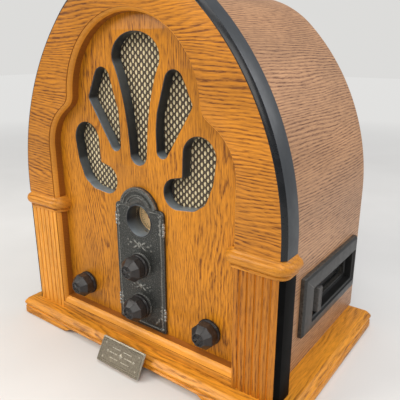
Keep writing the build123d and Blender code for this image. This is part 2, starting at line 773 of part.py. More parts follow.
with BuildPart() as speaker_baffle:
    with BuildSketch(facing(BAFFLE_BACK)):
        add(opening(-BAFFLE_INSET, BAFFLE_BOTTOM_Z))
        with Locations((0, SPEAKER_Z)):
            Circle(SPEAKER_HOLE_R, mode=Mode.SUBTRACT)
            with PolarLocations(SPEAKER_SCREW_RING, 4, 45):
                Circle(SCREW_R, mode=Mode.SUBTRACT)
    extrude(amount=BAFFLE_THICKNESS)
speaker_baffle.part.label = "speaker_baffle"
export_step(speaker_baffle.part, "parts/speaker_baffle.step")

# ------------------------------------------------------------------ loudspeaker

speaker_axis = Plane(origin=(0, at(BAFFLE_BACK), SPEAKER_Z), x_dir=(1, 0, 0), z_dir=(0, 1, 0))


def ring_profile(points):
    """Turn a closed radius-and-depth profile around the speaker's axis."""
    place = Plane(origin=speaker_axis.origin, x_dir=(1, 0, 0), z_dir=(0, 0, 1))
    with BuildSketch(place) as profile:
        Polygon(*points, align=None)
    revolve(profile.sketch, axis=Axis(speaker_axis.origin, (0, 1, 0)))


with BuildPart() as speaker_basket:
    ring_profile(
        [
            (BASKET_MOUTH_R, 0),
            (FLANGE_R, 0),
            (FLANGE_R, FLANGE_THICKNESS),
            (BASKET_RIM_R, FLANGE_THICKNESS),
            (MAGNET_R, BASKET_DEPTH),
            (GAP_R, BASKET_DEPTH),
            (GAP_R, BASKET_DEPTH - BASKET_SHEET),
            (MAGNET_R - 0.8, BASKET_DEPTH - BASKET_SHEET),
        ]
    )
    with BuildSketch(speaker_axis):
        with PolarLocations(BASKET_WINDOW_RING, 4, 0):
            SlotOverall(BASKET_WINDOW_LENGTH, BASKET_WINDOW_WIDTH, rotation=90)
    extrude(amount=BASKET_DEPTH - 2 * BASKET_SHEET, mode=Mode.SUBTRACT)
    with BuildSketch(speaker_axis):
        with PolarLocations(SPEAKER_SCREW_RING, 4, 45):
            Circle(SCREW_R)
    extrude(amount=BASKET_DEPTH, mode=Mode.SUBTRACT)
speaker_basket.part.label = "speaker_basket"
export_step(speaker_basket.part, "parts/speaker_basket.step")

with BuildPart() as speaker_magnet:
    with BuildSketch(speaker_axis.offset(BASKET_DEPTH)):
        Circle(MAGNET_R)
        Circle(GAP_R, mode=Mode.SUBTRACT)
    extrude(amount=MAGNET_THICKNESS)
    with BuildSketch(speaker_axis.offset(BASKET_DEPTH + MAGNET_THICKNESS)):
        Circle(MAGNET_R - 1.5)
    extrude(amount=2.0)
    with BuildSketch(speaker_axis.offset(BASKET_DEPTH + MAGNET_THICKNESS)):
        Circle(POLE_R)
    extrude(amount=-MAGNET_THICKNESS)
speaker_magnet.part.label = "speaker_magnet"
export_step(speaker_magnet.part, "parts/speaker_magnet.step")

with BuildPart() as speaker_cone:
    ring_profile(
        [
            (COIL_INSIDE_R, BASKET_DEPTH - 4.0),
            (CONE_FOLD_R, 2.6),
            (CONE_R, 1.6),
            (CONE_R, 0.8),
            (CONE_FOLD_R - 0.4, 1.8),
            (COIL_INSIDE_R, BASKET_DEPTH - 5.4),
        ]
    )
    ring_profile(
        [
            (COIL_INSIDE_R, COIL_FRONT),
            (COIL_OUTSIDE_R, COIL_FRONT),
            (COIL_OUTSIDE_R, COIL_BACK),
            (COIL_INSIDE_R, COIL_BACK),
        ]
    )
    ring_profile(
        [
            (0, BASKET_DEPTH - 9.5),
            (COIL_R, BASKET_DEPTH - 6.2),
            (COIL_R, BASKET_DEPTH - 5.2),
            (0, BASKET_DEPTH - 8.7),
        ]
    )
speaker_cone.part.label = "speaker_cone"
export_step(speaker_cone.part, "parts/speaker_cone.step")

with BuildPart() as speaker_screws:
    with BuildSketch(speaker_axis.offset(-SCREW_LENGTH)):
        with PolarLocations(SPEAKER_SCREW_RING, 4, 45):
            Circle(SCREW_R)
    extrude(amount=SCREW_LENGTH + FLANGE_THICKNESS)
    with BuildSketch(speaker_axis.offset(FLANGE_THICKNESS)):
        with PolarLocations(SPEAKER_SCREW_RING, 4, 45):
            Circle(SCREW_HEAD_R)
    extrude(amount=SCREW_HEAD)
speaker_screws.part.label = "speaker_screws"
export_step(speaker_screws.part, "parts/speaker_screws.step")

# ------------------------------------------------------------------ escutcheon and dial


with BuildPart() as escutcheon:
    with BuildSketch(facing(PANEL_DEPTH)) as plate:
        with BuildLine():
            Polyline(
                (-ESCUTCHEON_HALF, ESCUTCHEON_LOW),
                (ESCUTCHEON_HALF, ESCUTCHEON_LOW),
                (ESCUTCHEON_HALF, ESCUTCHEON_SHOULDER),
                (-ESCUTCHEON_HALF, ESCUTCHEON_SHOULDER),
                close=True,
            )
        make_face()
        fillet(plate.vertices(), radius=ESCUTCHEON_CORNER_R)
        with Locations((0, ESCUTCHEON_ARCH_Z)):
            Circle(ESCUTCHEON_ARCH_R)
    extrude(amount=ESCUTCHEON_THICKNESS)
    chamfer(escutcheon.faces().sort_by(Axis.Y)[0].edges(), length=ESCUTCHEON_CHAMFER)
    with BuildSketch(facing(ESCUTCHEON_FACE)):
        with Locations((0, ESCUTCHEON_ARCH_Z)):
            Circle(ESCUTCHEON_ARCH_R - HOOD_INSET)
        with Locations((0, KNOB_LOW_Z), (0, TUNING_Z)):
            Circle(BOSS_R)
    extrude(amount=BOSS_HEIGHT)
    with BuildSketch(facing(PANEL_DEPTH)):
        with Locations((0, DIAL_Z)):
            Circle(WINDOW_R)
        with Locations((0, KNOB_LOW_Z), (0, TUNING_Z)):
            Circle(NUT_CLEARANCE_R)
        with Locations(*PIN_PLACES):
            Circle(PIN_R)
    extrude(amount=ESCUTCHEON_THICKNESS + BOSS_HEIGHT, mode=Mode.SUBTRACT)
escutcheon.part.label = "escutcheon"
export_step(escutcheon.part, "parts/escutcheon.step")

with BuildPart() as escutcheon_pins:
    with BuildSketch(facing(PANEL_DEPTH + PIN_REACH)):
        with Locations(*PIN_PLACES):
            Circle(PIN_R)
    extrude(amount=PIN_REACH + ESCUTCHEON_THICKNESS)
    with BuildSketch(facing(ESCUTCHEON_FACE)):
        with Locations(*PIN_PLACES):
            Circle(PIN_HEAD_R)
    extrude(amount=PIN_HEAD)
    chamfer(escutcheon_pins.faces().group_by(Axis.Y)[0].edges(), length=PIN_HEAD_CHAMFER)
escutcheon_pins.part.label = "escutcheon_pins"
export_step(escutcheon_pins.part, "parts/escutcheon_pins.step")

with BuildPart() as dial_lens:
    with BuildSketch(facing(PANEL_BACK - LENS_INSET)):
        with Locations((0, DIAL_Z)):
            Circle(WINDOW_R + WINDOW_LEDGE)
    extrude(amount=LENS_THICKNESS)
dial_lens.part.label = "dial_lens"
export_step(dial_lens.part, "parts/dial_lens.step")


with BuildPart() as dial_plate:
    with BuildSketch(facing(DIAL_DEPTH + DIAL_THICKNESS)):
        with Locations((0, (POST_LOW_Z + POST_HIGH_Z) / 2)):
            RectangleRounded(DIAL_WIDTH, DIAL_HEIGHT, DIAL_CORNER_R)
        with Locations(*POST_PLACES):
            Circle(POST_R, mode=Mode.SUBTRACT)
        with Locations((0, DIAL_Z)):
            Circle(STUB_R + 0.7, mode=Mode.SUBTRACT)
    extrude(amount=DIAL_THICKNESS)
dial_plate.part.label = "dial_plate"
export_step(dial_plate.part, "parts/dial_plate.step")

with BuildPart() as dial_pointer:
    with BuildSketch(facing(DIAL_DEPTH - POINTER_GAP)):
        with Locations((0, DIAL_Z)):
            Circle(STUB_R + 1.1)
            Circle(STUB_R, mode=Mode.SUBTRACT)
        with Locations((0, DIAL_Z + POINTER_MIDDLE)):
            Trapezoid(POINTER_WIDTH, POINTER_LENGTH, 87)
    extrude(amount=POINTER_THICKNESS)
dial_pointer.part.label = "dial_pointer"
export_step(dial_pointer.part, "parts/dial_pointer.step")


def grooved_wheel(x, z, radius, depth, width):
    """A cord wheel: a grooved rim of the given width whose front is at a depth."""
    for low, high, size in (
        (0, WHEEL_CHEEK, radius + WHEEL_RIM),
        (WHEEL_CHEEK, width - WHEEL_CHEEK, radius),
        (width - WHEEL_CHEEK, width, radius + WHEEL_RIM),
    ):
        with BuildSketch(facing(depth + high)) as disc:
            with Locations((x, z)):
                Circle(size)
        extrude(disc.sketch, amount=high - low)


with BuildPart() as dial_drum:
    grooved_wheel(0, DIAL_Z, DRUM_R, DRUM_DEPTH, DRUM_WIDTH)
    with BuildSketch(facing(FRAME_BACK + SHAFT_OVERHANG)):
        with Locations((0, DIAL_Z)):
            Circle(SHAFT_R)
    extrude(amount=FRAME_BACK + SHAFT_OVERHANG - STUB_START)
    with BuildSketch(facing(STUB_START)):
        with Locations((0, DIAL_Z)):
            Circle(STUB_R)
    extrude(amount=STUB_LENGTH)
dial_drum.part.label = "dial_drum"
export_step(dial_drum.part, "parts/dial_drum.step")

cord_outside = hull((0, DIAL_Z, DRUM_R + CORD_GAP + CORD), (0, TUNING_Z, PULLEY_R + CORD_GAP + CORD))
cord_inside = hull((0, DIAL_Z, DRUM_R + CORD_GAP), (0, TUNING_Z, PULLEY_R + CORD_GAP))

with BuildPart() as dial_cord:
    with BuildSketch(facing(DRUM_DEPTH + (DRUM_WIDTH + CORD) / 2)):
        add(cord_outside)
        add(cord_inside, mode=Mode.SUBTRACT)
    extrude(amount=CORD)
dial_cord.part.label = "dial_cord"
export_step(dial_cord.part, "parts/dial_cord.step")


with BuildPart() as tuning_capacitor:
    with BuildSketch(facing(FRAME_FRONT + FRAME_PLATE)):
        with Locations((0, (POST_LOW_Z + POST_HIGH_Z) / 2)):
            RectangleRounded(DIAL_WIDTH, DIAL_HEIGHT, DIAL_CORNER_R)
        with Locations((0, DIAL_Z)):
            Circle(SHAFT_R + RUNNING_GAP, mode=Mode.SUBTRACT)
    extrude(amount=FRAME_PLATE)
    with BuildSketch(facing(FRAME_FRONT)):
        with Locations(*POST_PLACES):
            Circle(POST_R)
    extrude(amount=FRAME_FRONT - PANEL_BACK)
    with BuildSketch(facing(FRAME_BACK + FRAME_PLATE)):
        with Locations((0, DIAL_Z - 1.0)):
            Rectangle(BACK_PLATE_WIDTH, BACK_PLATE_HEIGHT)
        with Locations((0, DIAL_Z)):
            Circle(SHAFT_R + RUNNING_GAP, mode=Mode.SUBTRACT)
    extrude(amount=FRAME_PLATE)
    with BuildSketch(facing(FRAME_BACK)):
        with Locations((0, DIAL_Z - 20.0)):
            Rectangle(BACK_PLATE_WIDTH, 2.0)
    extrude(amount=FRAME_BACK - FRAME_FRONT - FRAME_PLATE)
    for vane_depth in STATOR_DEPTHS:
        with BuildSketch(facing(vane_depth + VANE)):
            with Locations((0, DIAL_Z - STATOR_DROP)):
                Rectangle(STATOR_WIDTH, STATOR_HEIGHT)
        extrude(amount=VANE)
tuning_capacitor.part.label = "tuning_capacitor"
export_step(tuning_capacitor.part, "parts/tuning_capacitor.step")

with BuildPart() as tuning_rotor:
    with BuildSketch(facing(ROTOR_DEPTHS[2] + VANE)):
        with Locations((0, DIAL_Z)):
            Circle(SHAFT_R + 1.2)
            Circle(SHAFT_R, mode=Mode.SUBTRACT)
    extrude(amount=ROTOR_DEPTHS[2] + VANE - ROTOR_DEPTHS[0])
    for vane_depth in ROTOR_DEPTHS:
        with BuildSketch(facing(vane_depth + VANE)):
            with Locations((0, DIAL_Z)):
                Circle(VANE_R)
                Circle(SHAFT_R, mode=Mode.SUBTRACT)
            with Locations((0, DIAL_Z + SHAFT_R + 1.0)):
                Rectangle(2.2 * VANE_R, 2 * VANE_R, align=(Align.CENTER, Align.MIN), mode=Mode.SUBTRACT)
        extrude(amount=VANE)
tuning_rotor.part.label = "tuning_rotor"
export_step(tuning_rotor.part, "parts/tuning_rotor.step")

# ------------------------------------------------------------------ controls


def control(name, x, z):
    """A rotary control behind the panel, its threaded bushing through the wood."""
    with BuildPart() as body:
        with BuildSketch(facing(PANEL_BACK + CAN_DEPTH)):
            with Locations((x, z)):
                Circle(CAN_R)
        extrude(amount=CAN_DEPTH)
        with BuildSketch(facing(PANEL_BACK + CAN_DEPTH)):
            with Locations((x, z - CAN_R)):
                Rectangle(TAG_WIDTH, TAG_LENGTH)
        extrude(amount=TAG_THICKNESS)
        with BuildSketch(facing(PANEL_BACK)):
            with Locations((x, z)):
                Circle(BUSHING_R)
        extrude(amount=PANEL_BACK - BUSHING_FRONT)
        with BuildSketch(facing(SHAFT_END + SHAFT_CLEARANCE)):
            with Locations((x, z)):
                Circle(SHAFT_R + RUNNING_GAP)
        extrude(amount=SHAFT_END + SHAFT_CLEARANCE - BUSHING_FRONT, mode=Mode.SUBTRACT)
    body.part.label = name
    export_step(body.part, f"parts/{name}.step")


def shaft(name, x, z, seat):
    """A control's turning shaft, from inside its can to the bottom of the knob's bore."""
    with BuildPart() as rod:
        with BuildSketch(facing(SHAFT_END)):
            with Locations((x, z)):
                Circle(SHAFT_R)
        extrude(amount=SHAFT_END - seat + KNOB_BORE)
    rod.part.label = name
    export_step(rod.part, f"parts/{name}.step")


def knob(name, x, z, seat):
    """An eight-sided moulded knob on a collar and a round skirt, bored for its shaft."""
    with BuildPart() as body:
        with BuildSketch(facing(seat)):
            with Locations((x, z)):
                Circle(SKIRT_R)
        extrude(amount=SKIRT_HEIGHT)
        chamfer(body.faces().sort_by(Axis.Y)[0].edges(), length=SKIRT_CHAMFER)
        collar_depth = seat - SKIRT_HEIGHT
        with BuildSketch(facing(collar_depth)):
            with Locations((x, z)):
                Circle(COLLAR_R)
        extrude(amount=COLLAR_HEIGHT)
        grip_depth = collar_depth - COLLAR_HEIGHT
        with BuildSketch(facing(grip_depth)):
            with Locations((x, z)):
                RegularPolygon(KNOB_R, 8, rotation=KNOB_TURN)
        with BuildSketch(facing(seat - KNOB_HEIGHT)):
            with Locations((x, z)):
                RegularPolygon(KNOB_TIP_R, 8, rotation=KNOB_TURN)
        loft(ruled=True)
        chamfer(body.faces().sort_by(Axis.Y)[0].edges(), length=KNOB_CHAMFER)
        with BuildSketch(facing(seat)):
            with Locations((x, z)):
                Circle(KNOB_POCKET_R)
        extrude(amount=KNOB_POCKET, mode=Mode.SUBTRACT)
        with BuildSketch(facing(seat)):
            with Locations((x, z)):
                Circle(SHAFT_R)
        extrude(amount=KNOB_BORE, mode=Mode.SUBTRACT)
    body.part.label = name
    export_step(body.part, f"parts/{name}.step")


control("volume_control", -KNOB_SIDE_X, KNOB_LOW_Z)
control("tone_control", KNOB_SIDE_X, KNOB_LOW_Z)
control("band_switch", 0, KNOB_LOW_Z)
shaft("volume_shaft", -KNOB_SIDE_X, KNOB_LOW_Z, SIDE_SEAT)
shaft("tone_shaft", KNOB_SIDE_X, KNOB_LOW_Z, SIDE_SEAT)
shaft("band_shaft", 0, KNOB_LOW_Z, PLATE_SEAT)
knob("knob_volume", -KNOB_SIDE_X, KNOB_LOW_Z, SIDE_SEAT)
knob("knob_tone", KNOB_SIDE_X, KNOB_LOW_Z, SIDE_SEAT)
knob("knob_band", 0, KNOB_LOW_Z, PLATE_SEAT)
knob("knob_tuning", 0, TUNING_Z, PLATE_SEAT)

with BuildPart() as tuning_bushing:
    with BuildSketch(facing(PANEL_BACK + HEX_THICKNESS)):
        with Locations((0, TUNING_Z)):
            RegularPolygon(HEX_R, 6)
    extrude(amount=HEX_THICKNESS)
    with BuildSketch(facing(PANEL_BACK)):
        with Locations((0, TUNING_Z)):
            Circle(BUSHING_R)
    extrude(amount=PANEL_BACK - BUSHING_FRONT)
    with BuildSketch(facing(PANEL_BACK + HEX_THICKNESS)):
        with Locations((0, TUNING_Z)):
            Circle(SHAFT_R + RUNNING_GAP)
    extrude(amount=PANEL_BACK + HEX_THICKNESS - BUSHING_FRONT, mode=Mode.SUBTRACT)
tuning_bushing.part.label = "tuning_bushing"
export_step(tuning_bushing.part, "parts/tuning_bushing.step")

with BuildPart() as tuning_shaft:
    grooved_wheel(0, TUNING_Z, PULLEY_R, DRUM_DEPTH, DRUM_WIDTH)
    with BuildSketch(facing(DRUM_DEPTH + 1.0)):
        with Locations((0, TUNING_Z)):
            Circle(SHAFT_R)
    extrude(amount=DRUM_DEPTH + 1.0 - PLATE_SEAT + KNOB_BORE)
tuning_shaft.part.label = "tuning_shaft"
export_step(tuning_shaft.part, "parts/tuning_shaft.step")

with BuildPart() as control_nuts:
    with BuildSketch(facing(PANEL_DEPTH)):
        with Locations(*SHAFT_PLACES):
            RegularPolygon(NUT_R, 6)
            Circle(BUSHING_R, mode=Mode.SUBTRACT)
    extrude(amount=NUT_THICKNESS)
control_nuts.part.label = "control_nuts"
export_step(control_nuts.part, "parts/control_nuts.step")

# ------------------------------------------------------------------ cabinet and its cover

COVER_SCREWS = (
    (-(ARCH_HALF_WIDTH - COVER_SCREW_INSET), 40.0),
    (ARCH_HALF_WIDTH - COVER_SCREW_INSET, 40.0),
    (-(ARCH_HALF_WIDTH - COVER_SCREW_INSET), 120.0),
    (ARCH_HALF_WIDTH - COVER_SCREW_INSET, 120.0),
)

with BuildPart() as cabinet_shell:
    with BuildSketch(facing(BODY_BACK)):
        add(arch(BODY_INSET, BASE_TOP))
        add(arch(BODY_INSET + WALL, BASE_TOP - 1), mode=Mode.SUBTRACT)
    extrude(amount=BODY_BACK - FRAME_DEPTH)
    with BuildSketch(facing(BODY_BACK)):
        add(arch(BODY_INSET + WALL / 2, BASE_TOP - 1))
    extrude(amount=BODY_BACK - COVER_DEPTH, mode=Mode.SUBTRACT)
    with BuildSketch(Plane.YZ.offset(WALL_INSIDE - 1)):
        with Locations((at((PLUG_LOW + PLUG_HIGH) / 2), (PLUG_BOTTOM + PLUG_TOP) / 2)):
            Rectangle(PLUG_HIGH - PLUG_LOW, PLUG_TOP - PLUG_BOTTOM)
    extrude(amount=WALL + 2, mode=Mode.SUBTRACT)
    with BuildSketch(facing(COVER_DEPTH)):
        with Locations(*COVER_SCREWS):
            Circle(COVER_SCREW_R)
    extrude(amount=COVER_SCREW_HOLE, mode=Mode.SUBTRACT)
cabinet_shell.part.label = "cabinet_shell"
export_step(cabinet_shell.part, "parts/cabinet_shell.step")


with BuildPart() as rear_cover:
    with BuildSketch(facing(COVER_DEPTH + COVER_THICKNESS)):
        add(arch(BODY_INSET + WALL / 2 + COVER_GAP, BASE_TOP + COVER_GAP))
        with Locations((0, SPEAKER_Z)):
            with GridLocations(0, VENT_PITCH, 1, SPEAKER_VENTS):
                SlotOverall(SPEAKER_VENT, VENT_WIDTH, mode=Mode.SUBTRACT)
        with Locations((40, 90)):
            with GridLocations(0, VENT_PITCH, 1, DECK_VENTS):
                SlotOverall(DECK_VENT, VENT_WIDTH, mode=Mode.SUBTRACT)
        with Locations((INLET_X, INLET_Z)):
            Rectangle(INLET_WIDTH, INLET_HEIGHT, mode=Mode.SUBTRACT)
        with Locations(*COVER_SCREWS):
            Circle(COVER_SCREW_R, mode=Mode.SUBTRACT)
    extrude(amount=COVER_THICKNESS)
rear_cover.part.label = "rear_cover"
export_step(rear_cover.part, "parts/rear_cover.step")

with BuildPart() as rear_cover_screws:
    with BuildSketch(facing(COVER_DEPTH + COVER_THICKNESS)):
        with Locations(*COVER_SCREWS):
            Circle(COVER_SCREW_R)
    extrude(amount=COVER_THICKNESS + COVER_SCREW_LENGTH)
    with BuildSketch(facing(COVER_DEPTH + COVER_THICKNESS + COVER_HEAD)):
        with Locations(*COVER_SCREWS):
            Circle(COVER_HEAD_R)
    extrude(amount=COVER_HEAD)
rear_cover_screws.part.label = "rear_cover_screws"
export_step(rear_cover_screws.part, "parts/rear_cover_screws.step")

with BuildPart() as power_inlet:
    with BuildSketch(facing(COVER_DEPTH + COVER_THICKNESS)):
        with Locations((INLET_X, INLET_Z)):
            Rectangle(INLET_WIDTH, INLET_HEIGHT)
    extrude(amount=INLET_BODY)
    with BuildSketch(facing(COVER_DEPTH + COVER_THICKNESS + INLET_LIP)):
        with Locations((INLET_X, INLET_Z)):
            RectangleRounded(INLET_WIDTH + 7, INLET_HEIGHT + 6, 2.0)
    extrude(amount=INLET_LIP)
    with BuildSketch(facing(COVER_DEPTH + COVER_THICKNESS + INLET_LIP)):
        with Locations((INLET_X, INLET_Z)):
            SlotOverall(*INLET_WELL)
    extrude(amount=INLET_WELL_DEPTH, mode=Mode.SUBTRACT)
    with BuildSketch(facing(COVER_DEPTH + COVER_THICKNESS - 10.0)):
        with Locations((INLET_X - CONTACT_HALF_PITCH, INLET_Z), (INLET_X + CONTACT_HALF_PITCH, INLET_Z)):
            Circle(CONTACT_R)
    extrude(amount=-7.5)
power_inlet.part.label = "power_inlet"
export_step(power_inlet.part, "parts/power_inlet.step")

# ------------------------------------------------------------------ electronics


with BuildPart() as main_board:
    with BuildSketch(Plane.XY.offset(BOARD_Z)):
        with Locations((BOARD_X, at(BOARD_DEPTH_MIDDLE))):
            Rectangle(BOARD_WIDTH, BOARD_LENGTH)
    extrude(amount=BOARD_THICKNESS)
    with BuildSketch(Plane.XY.offset(BASE_TOP)):
        with Locations((BOARD_X, at(BOARD_DEPTH_MIDDLE))):
            with GridLocations(BOARD_WIDTH - 2 * STANDOFF_INSET, BOARD_LENGTH - 2 * STANDOFF_INSET, 2, 2):
                Circle(STANDOFF_R)
    extrude(amount=BOARD_Z - BASE_TOP)
    with BuildSketch(Plane.XY.offset(BOARD_Z + BOARD_THICKNESS)):
        with Locations((BOARD_X - 20, at(BOARD_DEPTH_MIDDLE + 12))):
            Rectangle(22, 12)
        with Locations((BOARD_X + 14, at(BOARD_DEPTH_MIDDLE - 8))):
            Rectangle(16, 8)
        with Locations((BOARD_X + 30, at(BOARD_DEPTH_MIDDLE + 16))):
            Circle(6.0)
        with Locations((BOARD_X - 30, at(BOARD_DEPTH_MIDDLE - 18))):
            Circle(5.0)
    extrude(amount=PART_HEIGHT)
main_board.part.label = "main_board"
export_step(main_board.part, "parts/main_board.step")

with BuildPart() as power_transformer:
    for width, length, low, height in (
        (BRACKET_WIDTH, COIL_LENGTH, 0, CORE_BOTTOM),
        (CORE_WIDTH, CORE_LENGTH, CORE_BOTTOM, CORE_HEIGHT),
        (COIL_WIDTH, COIL_LENGTH, CORE_BOTTOM + COIL_MARGIN, CORE_HEIGHT - 2 * COIL_MARGIN),
    ):
        with BuildSketch(Plane.XY.offset(BASE_TOP + low)):
            with Locations((TRANSFORMER_X, at(TRANSFORMER_DEPTH))):
                Rectangle(width, length)
        extrude(amount=height)
power_transformer.part.label = "power_transformer"
export_step(power_transformer.part, "parts/power_transformer.step")

# ------------------------------------------------------------------ cassette deck

side_face = Plane.YZ.offset(WALL_OUTSIDE + BEZEL_PROUD)


def side_rectangle(low, high, bottom, top):
    """A rectangle on a side-facing plane, between two depths and two heights."""
    with Locations((at((low + high) / 2), (bottom + top) / 2)):
        Rectangle(high - low, top - bottom)


with BuildPart() as cassette_bezel:
    with BuildSketch(Plane.YZ.offset(WALL_OUTSIDE)):
        side_rectangle(BEZEL_LOW, BEZEL_HIGH, BEZEL_BOTTOM, BEZEL_TOP)
    extrude(amount=BEZEL_PROUD)
    chamfer(cassette_bezel.faces().sort_by(Axis.X)[-1].edges(), length=BEZEL_CHAMFER)
    with BuildSketch(Plane.YZ.offset(PLUG_BACK)):
        side_rectangle(PLUG_LOW, PLUG_HIGH, PLUG_BOTTOM, PLUG_TOP)
    extrude(amount=WALL_OUTSIDE - PLUG_BACK)
    with BuildSketch(side_face):
        side_rectangle(RECESS_LOW, RECESS_HIGH, RECESS_BOTTOM, RECESS_TOP)
    extrude(amount=-(WALL_OUTSIDE + BEZEL_PROUD - RECESS_FLOOR), mode=Mode.SUBTRACT)
    with BuildSketch(side_face):
        side_rectangle(SLOT_LOW, SLOT_HIGH, SLOT_BOTTOM, SLOT_TOP)
        with Locations((at(BUTTON_DEPTH), BUTTON_Z)):
            Circle(STEM_R + RUNNING_GAP)
    extrude(amount=-DECK_BOX, mode=Mode.SUBTRACT)
cassette_bezel.part.label = "cassette_bezel"
export_step(cassette_bezel.part, "parts/cassette_bezel.step")


with BuildPart() as eject_button:
    with BuildSketch(Plane.YZ.offset(BUTTON_BACK)):
        side_rectangle(BUTTON_DEPTH - BUTTON_HALF, BUTTON_DEPTH + BUTTON_HALF, BUTTON_LOW_Z, BUTTON_HIGH_Z)
    extrude(amount=BUTTON_FACE - BUTTON_BACK)
    fillet(eject_button.faces().sort_by(Axis.X)[-1].edges(), radius=BUTTON_ROUND)
    with BuildSketch(Plane.YZ.offset(BUTTON_BACK)):
        with Locations((at(BUTTON_DEPTH), BUTTON_Z)):
            Circle(STEM_R)
    extrude(amount=-STEM_LENGTH)
eject_button.part.label = "eject_button"
export_step(eject_button.part, "parts/eject_button.step")

LEG_PLACES = ((18.0, at(66.0)), (18.0, at(152.0)), (112.0, at(66.0)), (112.0, at(152.0)))

with BuildPart() as deck_chassis:
    with BuildSketch(Plane.XY.offset(DECK_PLATE_Z)):
        with Locations(((DECK_LEFT + DECK_RIGHT) / 2, at(DECK_MIDDLE))):
            Rectangle(DECK_RIGHT - DECK_LEFT, DECK_LENGTH)
        with Locations((SUPPLY_X, at(REEL_DEPTH)), (TAKEUP_X, at(REEL_DEPTH))):
            Circle(REEL_SHAFT_R + RUNNING_GAP, mode=Mode.SUBTRACT)
        with Locations((CAPSTAN_X, at(CAPSTAN_DEPTH))):
            Circle(CAPSTAN_R + RUNNING_GAP, mode=Mode.SUBTRACT)
    extrude(amount=DECK_PLATE)
    with BuildSketch(Plane.XY.offset(BASE_TOP)):
        with Locations(*LEG_PLACES):
            Circle(DECK_LEG_R)
    extrude(amount=DECK_PLATE_Z - BASE_TOP)
    for guide_low in (SLOT_LOW - FLAP_GAP - GUIDE, SLOT_HIGH + FLAP_GAP):
        with BuildSketch(Plane.XZ.offset(-at(guide_low + GUIDE))):
            with Locations(((DECK_LEFT + DECK_RIGHT) / 2, (DECK_PLATE_Z + GUIDE_TOP) / 2)):
                Rectangle(DECK_RIGHT - DECK_LEFT, GUIDE_TOP - DECK_PLATE_Z)
            with Locations((FLAP_X, FLAP_Z)):
                Circle(FLAP_PIN_R + RUNNING_GAP, mode=Mode.SUBTRACT)
        extrude(amount=GUIDE)
    # the head and the pinch roller reach the tape through a window in the front guide
    with BuildSketch(Plane.XZ.offset(-at(SLOT_LOW))):
        with Locations(HEAD_WINDOW[:2]):
            Rectangle(*HEAD_WINDOW[2:])
    extrude(amount=2 * GUIDE - 0.2, mode=Mode.SUBTRACT)
deck_chassis.part.label = "deck_chassis"
export_step(deck_chassis.part, "parts/deck_chassis.step")

with BuildPart() as cassette_flap:
    with BuildSketch(Plane.XZ.offset(-at(SLOT_HIGH - 0.2))):
        with Locations((FLAP_X, (SLOT_BOTTOM + FLAP_Z + 1.4) / 2)):
            Rectangle(FLAP_THICKNESS, FLAP_Z + 1.0 - SLOT_BOTTOM)
    extrude(amount=SLOT_HIGH - SLOT_LOW - 0.4)
    with BuildSketch(Plane.XZ.offset(-at(SLOT_HIGH + FLAP_GAP + GUIDE - 0.2))):
        with Locations((FLAP_X, FLAP_Z)):
            Circle(FLAP_PIN_R)
    extrude(amount=SLOT_HIGH - SLOT_LOW + 2 * (FLAP_GAP + GUIDE - 0.2))
cassette_flap.part.label = "cassette_flap"
export_step(cassette_flap.part, "parts/cassette_flap.step")


def reel_spindle(name, x):
    """A reel spindle: a drive disc under the plate and a splined crown above it."""
    with BuildPart() as spindle:
        with BuildSketch(Plane.XY.offset(REEL_DISC_Z)):
            with Locations((x, at(REEL_DEPTH))):
                Circle(REEL_DISC_R)
        extrude(amount=REEL_DISC)
        with BuildSketch(Plane.XY.offset(REEL_DISC_Z + REEL_DISC)):
            with Locations((x, at(REEL_DEPTH))):
                Circle(REEL_SHAFT_R)
        extrude(amount=REEL_CROWN_Z - REEL_DISC_Z - REEL_DISC)
        with BuildSketch(Plane.XY.offset(REEL_CROWN_Z)):
            with Locations((x, at(REEL_DEPTH))):
                Circle(REEL_CROWN_R)
                with PolarLocations(REEL_CROWN_R, 3):
                    Rectangle(*REEL_TOOTH)
        extrude(amount=REEL_CROWN)
        chamfer(spindle.faces().sort_by(Axis.Z)[-1].edges(), length=REEL_CHAMFER)
    spindle.part.label = name
    export_step(spindle.part, f"parts/{name}.step")


reel_spindle("supply_spindle", SUPPLY_X)
reel_spindle("takeup_spindle", TAKEUP_X)


with BuildPart() as capstan_flywheel:
    with BuildSketch(Plane.XY.offset(FLYWHEEL_Z)):
        with Locations((CAPSTAN_X, at(CAPSTAN_DEPTH))):
            Circle(FLYWHEEL_R)
    extrude(amount=FLYWHEEL_THICKNESS)
    with BuildSketch(Plane.XY.offset(FLYWHEEL_Z + FLYWHEEL_THICKNESS)):
        with Locations((CAPSTAN_X, at(CAPSTAN_DEPTH))):
            Circle(CAPSTAN_R)
    extrude(amount=CAPSTAN_TOP - FLYWHEEL_Z - FLYWHEEL_THICKNESS)
    with BuildSketch(Plane.XY.offset(BELT_Z - GROOVE_WIDTH / 2)):
        with Locations((CAPSTAN_X, at(CAPSTAN_DEPTH))):
            Circle(FLYWHEEL_R + 1)
            Circle(FLYWHEEL_R - BELT_GROOVE, mode=Mode.SUBTRACT)
    extrude(amount=GROOVE_WIDTH, mode=Mode.SUBTRACT)
capstan_flywheel.part.label = "capstan_flywheel"
export_step(capstan_flywheel.part, "parts/capstan_flywheel.step")

